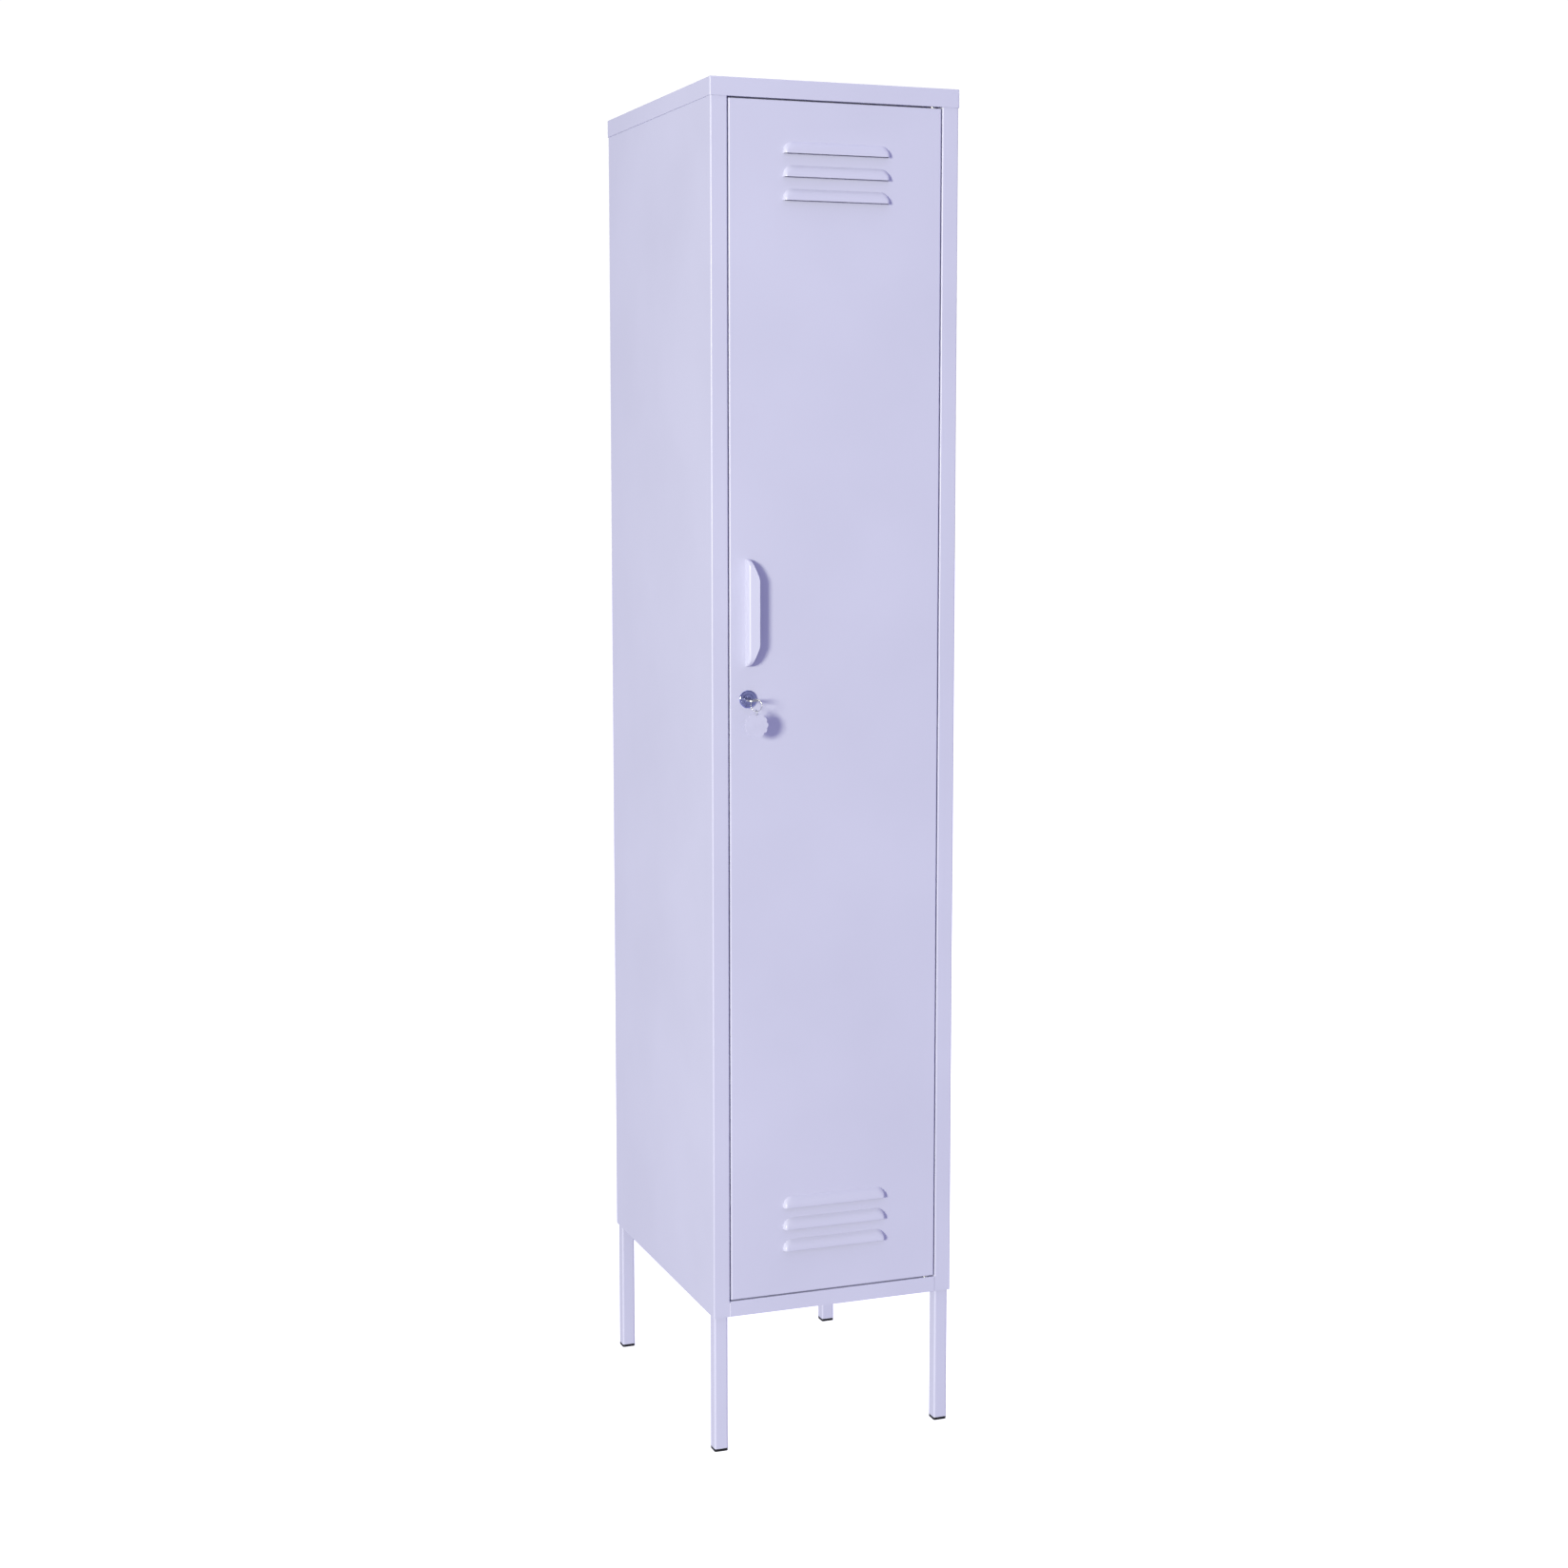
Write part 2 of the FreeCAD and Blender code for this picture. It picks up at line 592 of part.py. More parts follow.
def hat_shelf():
    """The top shelf, drilled for the rail's brackets and the magnetic catch."""
    radius = SCREW_RADIUS + HOLE_CLEARANCE
    holes = []
    for at in bracket_screw_places():
        holes.append(rod(radius, at, at + Vector(0, 0, BRACKET_SHEET + SHEET + PAST)))
        holes.append(mirrored(holes[-1]))
    for at in catch_screw_places():
        holes.append(rod(radius, at - Vector(0, PAST, 0), at + Vector(0, SHEET + PAST, 0)))
    return shelf(hat_z).cut(Part.makeCompound(holes))


# ---- Rail and hooks --------------------------------------------------------
def rail_axis():
    return Vector(0, (shelf_front + shelf_back) / 2, shelf_top(hat_z) - RAIL_DROP)


def bracket_x():
    """Outer face of a bracket's cheek."""
    return shelf_half - BRACKET_INSET


def bracket_screw_places():
    """On the underside of the left bracket's foot."""
    axis = rail_axis()
    under = shelf_top(hat_z) - SHEET - BRACKET_SHEET
    x = -bracket_x() + BRACKET_SHEET + BRACKET_FOOT / 2
    spread = BRACKET_SCREW_PITCH / 2
    return [Vector(x, axis.y + side * spread, under) for side in (-1, 1)]


def rail_bracket():
    """Left bracket: a foot screwed under the hat shelf and a cheek that the rail passes through."""
    axis = rail_axis()
    top = shelf_top(hat_z) - SHEET
    y = (axis.y - BRACKET_WIDTH / 2, axis.y + BRACKET_WIDTH / 2)
    foot_plate = box((-bracket_x(), BRACKET_SHEET + BRACKET_FOOT - bracket_x()), y,
                     (top - BRACKET_SHEET, top))
    cheek = box((-bracket_x(), BRACKET_SHEET - bracket_x()), y, (axis.z, top))
    start = Vector(-bracket_x(), axis.y, axis.z)
    end = start + Vector(BRACKET_SHEET, 0, 0)
    body = joined([foot_plate, cheek, rod(BRACKET_WIDTH / 2, start, end)])
    past = Vector(PAST, 0, 0)
    cuts = [rod(RAIL_RADIUS + RAIL_FIT, start - past, end + past)]
    for at in bracket_screw_places():
        cuts.append(rod(SCREW_RADIUS + HOLE_CLEARANCE, at - Vector(0, 0, PAST),
                        at + Vector(0, 0, BRACKET_SHEET + PAST)))
    return body.cut(Part.makeCompound(cuts))


def hanging_rail():
    """Tube that runs from side to side."""
    reach = shelf_half - BRACKET_INSET / 2
    start = rail_axis() - Vector(reach, 0, 0)
    end = rail_axis() + Vector(reach, 0, 0)
    return rod(RAIL_RADIUS, start, end).cut(rod(RAIL_RADIUS - RAIL_WALL, start, end))


def pan_screw(at, direction, length):
    """Round-headed screw: at is under its head, direction is the way it goes in."""
    head = rod(SCREW_HEAD_RADIUS, at - direction * SCREW_HEAD, at)
    head = softened(head, SCREW_HEAD / 2,
                    lambda e: (e.BoundBox.Center - at + direction * SCREW_HEAD).Length < 1e-3)
    return joined([head, rod(SCREW_RADIUS, at - direction * (SCREW_HEAD / 2), at + direction * length)])


def nut(at, direction):
    """Hexagon nut on a screw."""
    end = at + direction * NUT_HEIGHT
    return hexagon(NUT_FLATS, at, end).cut(rod(SCREW_RADIUS + RUNNING, at, end))


def rail_screws():
    up = Vector(0, 0, 1)
    length = BRACKET_SHEET + SHEET + NUT_HEIGHT + SCREW_PAST
    left = [pan_screw(at, up, length) for at in bracket_screw_places()]
    return left + [mirrored(screw) for screw in left]


def rail_nuts():
    up = Vector(0, 0, 1)
    left = [nut(at + up * (BRACKET_SHEET + SHEET), up) for at in bracket_screw_places()]
    return left + [mirrored(one) for one in left]


def hook_middle():
    """Centre of the left hook's plate, on the back panel."""
    return Vector(-HOOK_SPREAD, back_panel_face, shelf_top(hat_z) - HOOK_DROP)


def rivet_places():
    middle = hook_middle()
    places = []
    for x in (middle.x, -middle.x):
        for z in (-RIVET_SPREAD, RIVET_SPREAD):
            places.append(Vector(x, middle.y, middle.z + z))
    return places


def coat_hook():
    """Plate with a round arm that turns up to a ball."""
    middle = hook_middle()
    y = (middle.y - HOOK_PLATE, middle.y)
    plate = box((middle.x - HOOK_PLATE_WIDTH / 2, middle.x + HOOK_PLATE_WIDTH / 2), y,
                (middle.z - HOOK_PLATE_HEIGHT / 2, middle.z + HOOK_PLATE_HEIGHT / 2))
    plate = softened(plate, HOOK_PLATE_WIDTH / 4, lambda e: runs_along(e, "y"))
    start = Vector(0, middle.y - HOOK_PLATE / 2, middle.z)
    route = [start, start + Vector(0, -HOOK_REACH, 0), start + Vector(0, -HOOK_REACH, HOOK_RISE)]
    flat = [Vector(p.y, p.z, 0) for p in route]
    path = facing_side(Part.Wire(rounded_run(flat, [HOOK_TURN])))
    section = Part.Wire(Part.makeCircle(HOOK_ROD, start, Vector(0, 1, 0)))
    arm = path.makePipeShell([section], True, False)
    ball = Part.makeSphere(HOOK_BALL, route[-1])
    arm = arm.fuse(ball)
    arm.translate(Vector(middle.x, 0, 0))
    holes = []
    for at in rivet_places():
        holes.append(rod(RIVET_RADIUS, at - Vector(0, HOOK_PLATE + PAST, 0), at + Vector(0, PAST, 0)))
    return joined([plate, arm]).cut(Part.makeCompound(holes))


def hook_rivets():
    rivets = []
    for at in rivet_places():
        inner = at - Vector(0, HOOK_PLATE, 0)
        outer = at + Vector(0, SHEET, 0)
        out = Vector(0, RIVET_HEAD, 0)
        rivets.append(joined([rod(RIVET_HEAD_RADIUS, inner - out, inner),
                              rod(RIVET_RADIUS, inner - out, outer),
                              rod(RIVET_HEAD_RADIUS, outer, outer + Vector(0, RIVET_BLIND_HEAD, 0))]))
    return rivets


# ---- Door ------------------------------------------------------------------
def louvre_outline(inset, bottom, thickness, face):
    """Plate with a louvre's outline, two upper corners round, whose back is at face."""
    side = LOUVRE_LENGTH / 2 - inset
    top = bottom + LOUVRE_HEIGHT - inset
    low = bottom - inset
    radius = LOUVRE_CORNER - inset
    plate = rounded_plate([(-side, low), (side, low), (side, top), (-side, top)], [0, radius, radius],
                          0, thickness)
    plate.rotate(Vector(0, 0, 0), Vector(1, 0, 0), 90)
    plate.translate(Vector(0, face, 0))
    return plate


def louvre_block(inset, bottom):
    """Solid under one hood, inset by a wall: its curved section inside its outline."""
    proud = LOUVRE_PROUD - inset
    height = LOUVRE_HEIGHT - inset
    under = bottom - LOUVRE_HEIGHT / 2
    top = Vector(front, bottom + height, 0)
    rim = Vector(front - proud, bottom, 0)
    middle = Vector(front - proud * LOUVRE_BELLY_OUT, bottom + height * LOUVRE_BELLY_UP, 0)
    run = Part.makePolygon([rim, Vector(front - proud, under, 0), Vector(front, under, 0), top])
    section = Part.Wire([Part.Arc(top, middle, rim).toShape()] + run.Edges)
    ridge = Part.Face(section).extrude(Vector(0, 0, LOUVRE_LENGTH))
    ridge.translate(Vector(0, 0, -LOUVRE_LENGTH / 2))
    return facing_side(ridge).common(louvre_outline(inset, bottom, 2 * LOUVRE_PROUD, front))


def louvre_bottoms():
    """Height of each louvre's opening edge."""
    upper = [door_top - LOUVRE_TOP - LOUVRE_PITCH * i for i in range(LOUVRE_COUNT)]
    lower = [door_bottom + LOUVRE_BOTTOM + LOUVRE_PITCH * i for i in range(LOUVRE_COUNT)]
    return upper + lower


def door_skin():
    """Pan with folded edges and back lips, its louvres, and the holes for handle and lock."""
    outer = box((-door_half, door_half), (front, door_back), (door_bottom, door_top))
    outer = softened(outer, BEND + SHEET, lambda e: e.BoundBox.YMax < front + 1e-6)
    inner = box((SHEET - door_half, door_half - SHEET), (front + SHEET, door_back - SHEET),
                (door_bottom + SHEET, door_top - SHEET))
    inner = softened(inner, BEND, lambda e: e.BoundBox.YMax < front + SHEET + 1e-6)
    window = box((DOOR_LIP - door_half, door_half - DOOR_LIP), (front + DOOR_DEPTH / 2, door_back + PAST),
                 (door_bottom + DOOR_LIP, door_top - DOOR_LIP))
    hoods = []
    hollows = []
    for bottom in louvre_bottoms():
        hoods.append(louvre_block(0, bottom))
        hollows.append(louvre_block(SHEET, bottom))
        sill = box((-LOUVRE_LENGTH, LOUVRE_LENGTH), (front, door_back), (bottom - 2 * SHEET, bottom))
        hollows.append(louvre_outline(SHEET, bottom, 2 * SHEET, front + 2 * SHEET).cut(sill))
    before = Vector(0, -PAST, 0)
    behind = Vector(0, SHEET + PAST, 0)
    holes = [rod(BARREL_RADIUS + HOLE_CLEARANCE / 2, lock + before, lock + behind)]
    for at in handle_screw_places():
        holes.append(rod(SCREW_RADIUS + HOLE_CLEARANCE, at + before, at + behind))
    for end in (door_bottom, door_top):
        at = hinge + Vector(0, 0, end)
        holes.append(rod(BUSH_RADIUS, at - Vector(0, 0, 2 * SHEET), at + Vector(0, 0, 2 * SHEET)))
    pan = outer.cut(inner).cut(window)
    pan = pan.multiFuse(hoods)
    return pan.cut(Part.makeCompound(hollows)).cut(Part.makeCompound(holes)).removeSplitter()


def stiffener_x():
    """Middle of the stiffener, just clear of the lock's nut."""
    return lock.x + LOCK_NUT_FLATS / math.sqrt(3) + STIFFENER_LOCK_GAP + STIFFENER_WIDTH / 2


def door_stiffener():
    """Hat-shaped channel welded up the inside of the door."""
    skin = front + SHEET
    middle = stiffener_x()
    wide = STIFFENER_WIDTH / 2
    narrow = STIFFENER_TOP / 2
    crown = skin + STIFFENER_DEPTH
    profile = [(middle + wide, skin + SHEET), (middle + narrow, skin + SHEET), (middle + narrow, crown),
               (middle - narrow, crown), (middle - narrow, skin + SHEET), (middle - wide, skin + SHEET)]
    return folded(profile, door_bottom + STIFFENER_CLEAR, door_top - STIFFENER_CLEAR)


def hinge_pin_lower():
    """Pin welded to the tray, with a base that keeps the door off the tray."""
    at = hinge + Vector(0, 0, floor_z)
    base = rod(PIN_BASE_RADIUS, at, at + Vector(0, 0, PIN_BASE))
    pin = rod(PIN_RADIUS, at, at + Vector(0, 0, DOOR_GAP_ENDS + PIN_LENGTH))
    tip = [edge for edge in pin.Edges if edge.BoundBox.ZMin > floor_z + PAST]
    return joined([base, pin.makeChamfer(PIN_CHAMFER, tip)])


def hinge_pin_upper():
    """Headed pin dropped through the header into the door."""
    at = hinge + Vector(0, 0, cap_bottom + SHEET)
    head = rod(PIN_BASE_RADIUS, at, at + Vector(0, 0, PIN_HEAD))
    pin = rod(PIN_RADIUS, at + Vector(0, 0, PIN_HEAD), hinge + Vector(0, 0, door_top - PIN_LENGTH))
    return joined([head, pin])


def hinge_bush(end, inward):
    """Nylon bush in the door's end: end is the door's face, inward is +1 or -1."""
    at = hinge + Vector(0, 0, end)
    up = Vector(0, 0, inward)
    body = rod(BUSH_RADIUS, at - up * BUSH_PROUD, at + up * BUSH_LENGTH)
    flange = softened(rod(BUSH_FLANGE_RADIUS, at + up * SHEET, at + up * (SHEET + BUSH_FLANGE)),
                      BUSH_FLANGE / 4, lambda e: e.BoundBox.XLength > BUSH_RADIUS)
    bore = rod(PIN_RADIUS + RUNNING, at - up * (BUSH_PROUD + PAST), at + up * (PIN_LENGTH + PAST))
    return joined([body, flange]).cut(bore)


def handle_x():
    """Foot of the handle's wall."""
    return HANDLE_EDGE - door_half


def handle_screw_places():
    x = handle_x() + HANDLE_WIDTH / 2 + HANDLE_SHEET / 2
    spread = HANDLE_SCREW_PITCH / 2
    return [Vector(x, front, (handle_low + handle_high) / 2 + side * spread) for side in (-1, 1)]


def handle_block(inset, mouth):
    """Solid shape of the pull, inset by a wall: rounded in plan and rounded at both ends."""
    slope = (HANDLE_PROUD - HANDLE_WALL) / (HANDLE_WIDTH - HANDLE_LEAN)
    wall = inset * math.sqrt(1 + slope ** 2)
    left = handle_x() + inset
    right = handle_x() + HANDLE_WIDTH + mouth
    start = front - HANDLE_WALL + wall - slope * inset
    end = front - HANDLE_PROUD + wall - slope * mouth
    plan = rounded_plate([(left, front), (left + HANDLE_LEAN, start), (right, end), (right, front)],
                         [HANDLE_ROUND - inset, 0, 0], handle_low, handle_high)
    out = front - HANDLE_PROUD + inset
    low = handle_low + inset
    high = handle_high - inset
    radius = HANDLE_END_ROUND - inset
    side = facing_side(rounded_plate([(front, low), (front, high), (out, high), (out, low)],
                                     [0, radius, radius], left - PAST, right + PAST))
    return plan.common(side)


def handle_outline():
    """The handle's shape from the front: its lip narrows towards both ends."""
    left = handle_x() - PAST
    right = handle_x() + HANDLE_WIDTH
    tip = handle_x() + HANDLE_TIP
    corners = [(left, handle_low), (tip, handle_low), (right, handle_low + HANDLE_TAPER),
               (right, handle_high - HANDLE_TAPER), (tip, handle_high), (left, handle_high)]
    radii = [HANDLE_TIP_ROUND, HANDLE_TAPER_ROUND, HANDLE_TAPER_ROUND, HANDLE_TIP_ROUND, 0]
    return facing_front(rounded_plate(corners, radii, -front - PAST, HANDLE_PROUD - front + PAST))


def pull_handle():
    """Pressed shell that the fingers go behind from the hinge side, on a flat foot."""
    shell = handle_block(0, 0).cut(handle_block(HANDLE_SHEET, PAST))
    foot_plate = box((handle_x() + HANDLE_SHEET / 2, handle_x() + HANDLE_WIDTH),
                     (front - HANDLE_SHEET, front),
                     (handle_low + HANDLE_SHEET / 2, handle_high - HANDLE_SHEET / 2))
    holes = []
    for at in handle_screw_places():
        holes.append(rod(SCREW_RADIUS + HOLE_CLEARANCE, at - Vector(0, HANDLE_SHEET + PAST, 0),
                         at + Vector(0, PAST, 0)))
    return joined([shell, foot_plate]).common(handle_outline()).cut(Part.makeCompound(holes))


def handle_screws():
    into = Vector(0, 1, 0)
    length = HANDLE_SHEET + SHEET + NUT_HEIGHT + SCREW_PAST
    return [pan_screw(at - into * HANDLE_SHEET, into, length) for at in handle_screw_places()]


def handle_nuts():
    into = Vector(0, 1, 0)
    return [nut(at + into * SHEET, into) for at in handle_screw_places()]


# ---- Lock ------------------------------------------------------------------
def lock_housing():
    """Flange outside the door and barrel through it."""
    barrel = rod(BARREL_RADIUS, lock, lock + Vector(0, cam_front - front - RUNNING, 0))
    flange = rod(LOCK_FLANGE_RADIUS, lock - Vector(0, LOCK_FLANGE, 0), lock)
    flange = softened(flange, LOCK_FLANGE / 2, lambda e: e.BoundBox.YMax < front - LOCK_FLANGE + 1e-6)
    bore = rod(PLUG_RADIUS + RUNNING, lock - Vector(0, LOCK_FLANGE + PAST, 0),
               lock + Vector(0, cam_front - front, 0))
    return joined([barrel, flange]).cut(bore)


def lock_nut():
    start = lock + Vector(0, SHEET, 0)
    end = start + Vector(0, LOCK_NUT_HEIGHT, 0)
    return hexagon(LOCK_NUT_FLATS, start, end).cut(rod(BARREL_RADIUS + RUNNING, start, end))


def flat_block(half_width, half_height, start, end):
    """Block on the lock's axis, from start to end behind the door's face."""
    return box((lock.x - half_width, lock.x + half_width), (lock.y + start, lock.y + end),
               (lock.z - half_height, lock.z + half_height))


def lock_plug():
    """Turning core: a keyway from the front, a square for the cam at the back."""
    start = PLUG_RECESS - LOCK_FLANGE
    rear = cam_front - front
    core = rod(PLUG_RADIUS, lock + Vector(0, start, 0), lock + Vector(0, rear, 0))
    square = flat_block(CAM_SQUARE / 2, CAM_SQUARE / 2, rear - PAST, rear + CAM_THICKNESS)
    keyway = flat_block(KEY_BLADE_WIDTH / 2 + KEYWAY_FIT, KEY_THICKNESS / 2 + KEYWAY_FIT,
                        start - PAST, keyway_end)
    thread = rod(SCREW_RADIUS + RUNNING, lock + Vector(0, keyway_end, 0),
                 lock + Vector(0, rear + CAM_THICKNESS + PAST, 0))
    return joined([core, square]).cut(keyway).cut(thread)


def lock_cam():
    """Tongue that hangs down when the door is free, and lies behind the stop lip when it is locked."""
    rear = cam_front - front
    wide = CAM_WIDTH / 2
    hub = rod(wide, lock + Vector(0, rear, 0), lock + Vector(0, rear + CAM_THICKNESS, 0))
    tongue = box((lock.x - wide, lock.x + wide), (lock.y + rear, lock.y + rear + CAM_THICKNESS),
                 (lock.z - CAM_REACH, lock.z))
    tongue = softened(tongue, CAM_ROUND, lambda e: runs_along(e, "y") and e.BoundBox.ZMax < lock.z - PAST)
    square = flat_block(CAM_SQUARE / 2 + RUNNING, CAM_SQUARE / 2 + RUNNING, rear - PAST,
                        rear + CAM_THICKNESS + PAST)
    return joined([hub, tongue]).cut(square)


def cam_screw():
    rear = lock + Vector(0, cam_front - front + CAM_THICKNESS, 0)
    head = hexagon(CAM_SCREW_FLATS, rear, rear + Vector(0, CAM_SCREW_HEAD, 0))
    shank = rod(SCREW_RADIUS, lock + Vector(0, keyway_end + CAM_THICKNESS, 0),
                rear + Vector(0, CAM_SCREW_HEAD / 2, 0))
    return joined([head, shank])


def key():
    """Flat key, lying level: a notched blade, a shoulder and a bow with one large hole."""
    blade = flat_block(KEY_BLADE_WIDTH / 2, KEY_THICKNESS / 2, -LOCK_FLANGE, KEY_BLADE)
    neck = flat_block(NECK_WIDTH / 2, KEY_THICKNESS / 2, -LOCK_FLANGE - NECK - BOW_RADIUS / 2, -LOCK_FLANGE)
    middle = lock - Vector(0, bow_centre, KEY_THICKNESS / 2)
    disc = rod(BOW_RADIUS, middle, middle + Vector(0, 0, KEY_THICKNESS))
    hole_front = -key_reach + BOW_RIM
    hole = flat_block(BOW_HOLE_WIDTH / 2, KEY_THICKNESS, hole_front, hole_front + BOW_HOLE_LENGTH)
    hole = softened(hole, BOW_HOLE_LENGTH * BOW_HOLE_ROUND, lambda e: runs_along(e, "z"))
    notches = []
    for i, depth in enumerate(KEY_CUTS):
        at = lock + Vector(KEY_BLADE_WIDTH / 2, KEY_BLADE - KEY_CUT_PITCH * (i + 1), -KEY_THICKNESS)
        corners = [at + Vector(0, -depth, 0), at + Vector(-depth, 0, 0), at + Vector(0, depth, 0)]
        notch = Part.Face(Part.makePolygon(corners + corners[:1])).extrude(Vector(0, 0, 2 * KEY_THICKNESS))
        notches.append(notch)
    return joined([blade, neck, disc]).cut(hole).cut(Part.makeCompound(notches))


def ring_direction():
    """Level direction in the split ring's plane."""
    angle = math.radians(RING_TURN)
    return Vector(math.sin(angle), -math.cos(angle), 0)


def ring_centre():
    """Below the key, so placed that the wire passes through the bow's hole."""
    through = lock + Vector(0, BOW_RIM + BOW_HOLE_LENGTH / 2 - key_reach, 0)
    drop = RING_RADIUS - RING_ABOVE
    forward = math.sqrt(RING_RADIUS ** 2 - drop ** 2) - RING_BEHIND
    return through + ring_direction() * forward - Vector(0, 0, drop)


def split_ring():
    across = ring_direction().cross(Vector(0, 0, 1))
    return Part.makeTorus(RING_RADIUS, RING_WIRE, ring_centre(), across)


def tag_pivot():
    """Middle of the split ring's wire at its lowest point."""
    return ring_centre() - Vector(0, 0, RING_RADIUS)


def jump_centre():
    return tag_pivot() + Vector(0, 0, RING_WIRE + LINK_GAP + JUMP_WIRE - JUMP_RADIUS)


def jump_ring():
    return Part.makeTorus(JUMP_RADIUS, JUMP_WIRE, jump_centre(), Vector(1, 0, 0))


def key_tag():
    """Scalloped disc that hangs on the jump ring."""
    hole_top = jump_centre().z - JUMP_RADIUS + JUMP_WIRE + LINK_GAP
    hole_middle = hole_top - TAG_HOLE_RADIUS
    middle = Vector(jump_centre().x, jump_centre().y + TAG_THICKNESS / 2,
                    hole_top + TAG_HOLE_RIM - TAG_RADIUS)

    def on_rim(radius, number):
        angle = math.radians(90 + 360 * number / TAG_SCALLOPS)
        return middle + Vector(math.cos(angle), 0, math.sin(angle)) * radius

    edges = []
    for i in range(TAG_SCALLOPS):
        edges.append(Part.Arc(on_rim(TAG_RADIUS - TAG_SCALLOP_DEPTH, i - 0.5), on_rim(TAG_RADIUS, i),
                              on_rim(TAG_RADIUS - TAG_SCALLOP_DEPTH, i + 0.5)).toShape())
    disc = Part.Face(Part.Wire(edges)).extrude(Vector(0, -TAG_THICKNESS, 0))
    at = Vector(middle.x, middle.y + PAST, hole_middle)
    return disc.cut(rod(TAG_HOLE_RADIUS, at, at - Vector(0, TAG_THICKNESS + 2 * PAST, 0)))


# ---- Magnetic catch and bumpers --------------------------------------------
def catch_middle():
    """On the hat shelf's front lip, behind the stiffener."""
    return Vector(stiffener_x(), shelf_front, shelf_top(hat_z) - SHELF_FRONT_LIP / 2)


def keeper_face():
    return front + SHEET + STIFFENER_DEPTH + KEEPER_THICKNESS


def magnet_catch_body():
    """Plastic block with two ears, screwed to the shelf's lip."""
    at = catch_middle()
    face = keeper_face() + MAGNET_GAP
    z = (at.z - CATCH_HEIGHT / 2, at.z + CATCH_HEIGHT / 2)
    block = box((at.x - CATCH_WIDTH / 2, at.x + CATCH_WIDTH / 2), (face, at.y), z)
    wide = CATCH_WIDTH / 2 + CATCH_EAR
    ears = box((at.x - wide, at.x + wide), (at.y - CATCH_EAR_THICKNESS, at.y), z)
    pocket = box((at.x - MAGNET_WIDTH / 2, at.x + MAGNET_WIDTH / 2), (face - PAST, face + MAGNET_DEPTH),
                 (at.z - MAGNET_HEIGHT / 2, at.z + MAGNET_HEIGHT / 2))
    before = Vector(0, CATCH_EAR_THICKNESS + PAST, 0)
    behind = Vector(0, PAST, 0)
    holes = [rod(SCREW_RADIUS + HOLE_CLEARANCE, p - before, p + behind) for p in catch_screw_places()]
    return joined([block, ears]).cut(pocket).cut(Part.makeCompound(holes))


def catch_magnet():
    at = catch_middle()
    face = keeper_face() + MAGNET_GAP
    return box((at.x - MAGNET_WIDTH / 2, at.x + MAGNET_WIDTH / 2), (face, face + MAGNET_DEPTH),
               (at.z - MAGNET_HEIGHT / 2, at.z + MAGNET_HEIGHT / 2))


def catch_screw_places():
    reach = CATCH_WIDTH / 2 + CATCH_EAR / 2
    return [catch_middle() + Vector(side * reach, 0, 0) for side in (-1, 1)]


def catch_screws():
    into = Vector(0, 1, 0)
    length = CATCH_EAR_THICKNESS + SHEET + 2 * SCREW_PAST
    return [pan_screw(at - into * CATCH_EAR_THICKNESS, into, length) for at in catch_screw_places()]


def catch_keeper():
    """Steel plate on the stiffener, which the magnet holds."""
    at = catch_middle()
    return box((at.x - KEEPER_WIDTH / 2, at.x + KEEPER_WIDTH / 2),
               (keeper_face() - KEEPER_THICKNESS, keeper_face()),
               (at.z - KEEPER_HEIGHT / 2, at.z + KEEPER_HEIGHT / 2))


def door_bumpers():
    """Rubber dots on the stop lip."""
    x = STOP_LIP / 2 - opening
    dots = []
    for z in (door_bottom + BUMPER_END, (door_bottom + door_top) / 2, door_top - BUMPER_END):
        at = Vector(x, stop_y, z)
        dots.append(rod(BUMPER_RADIUS, at - Vector(0, BUMPER_THICKNESS, 0), at))
    return dots


# ---- Build -----------------------------------------------------------------
os.makedirs("parts", exist_ok=True)

lower_z = slot_z(LOWER_SLOT)
middle_z = slot_z(MIDDLE_SLOT)
hat_z = slot_z(slot_count - HAT_SLOT_FROM_TOP)

save("side_panel_left", side_panel(stop_lip=True))
save("side_panel_right", mirrored(side_panel(stop_lip=False)))
save("back_panel", back_panel())
save("top_cap", top_cap())
save("header_rail", header_rail())
save("base_tray", base_tray())
save("cable_grommet", cable_grommet())

for place, corner in leg_corners().items():
    save("leg_" + place, leg(*corner))
    save("foot_" + place, foot(*corner))
save("leg_bolts", *leg_bolts())
save("leg_weld_nuts", *leg_weld_nuts())

clips = []
for place, y_middle in (("front", front + UPRIGHT_INSET), ("rear", back - UPRIGHT_INSET)):
    left = upright(y_middle)
    save("shelf_upright_" + place + "_left", left)
    save("shelf_upright_" + place + "_right", mirrored(left))
    for z_slot in (lower_z, middle_z, hat_z):
        clips.append(clip(y_middle, z_slot))
        clips.append(mirrored(clips[-1]))
save("shelf_clips", *clips)
save("lower_shelf", shelf(lower_z))
save("middle_shelf", shelf(middle_z))
save("hat_shelf", hat_shelf())

save("hanging_rail", hanging_rail())
save("rail_bracket_left", rail_bracket())
save("rail_bracket_right", mirrored(rail_bracket()))
save("rail_screws", *rail_screws())
save("rail_nuts", *rail_nuts())
save("coat_hook_left", coat_hook())
save("coat_hook_right", mirrored(coat_hook()))
save("hook_rivets", *hook_rivets())

save("door_skin", door_skin())
save("door_stiffener", door_stiffener())
save("hinge_pin_lower", hinge_pin_lower())
save("hinge_pin_upper", hinge_pin_upper())
save("hinge_bush_lower", hinge_bush(door_bottom, 1))
save("hinge_bush_upper", hinge_bush(door_top, -1))
save("door_bumpers", *door_bumpers())
save("pull_handle", pull_handle())
save("handle_screws", *handle_screws())
save("handle_nuts", *handle_nuts())

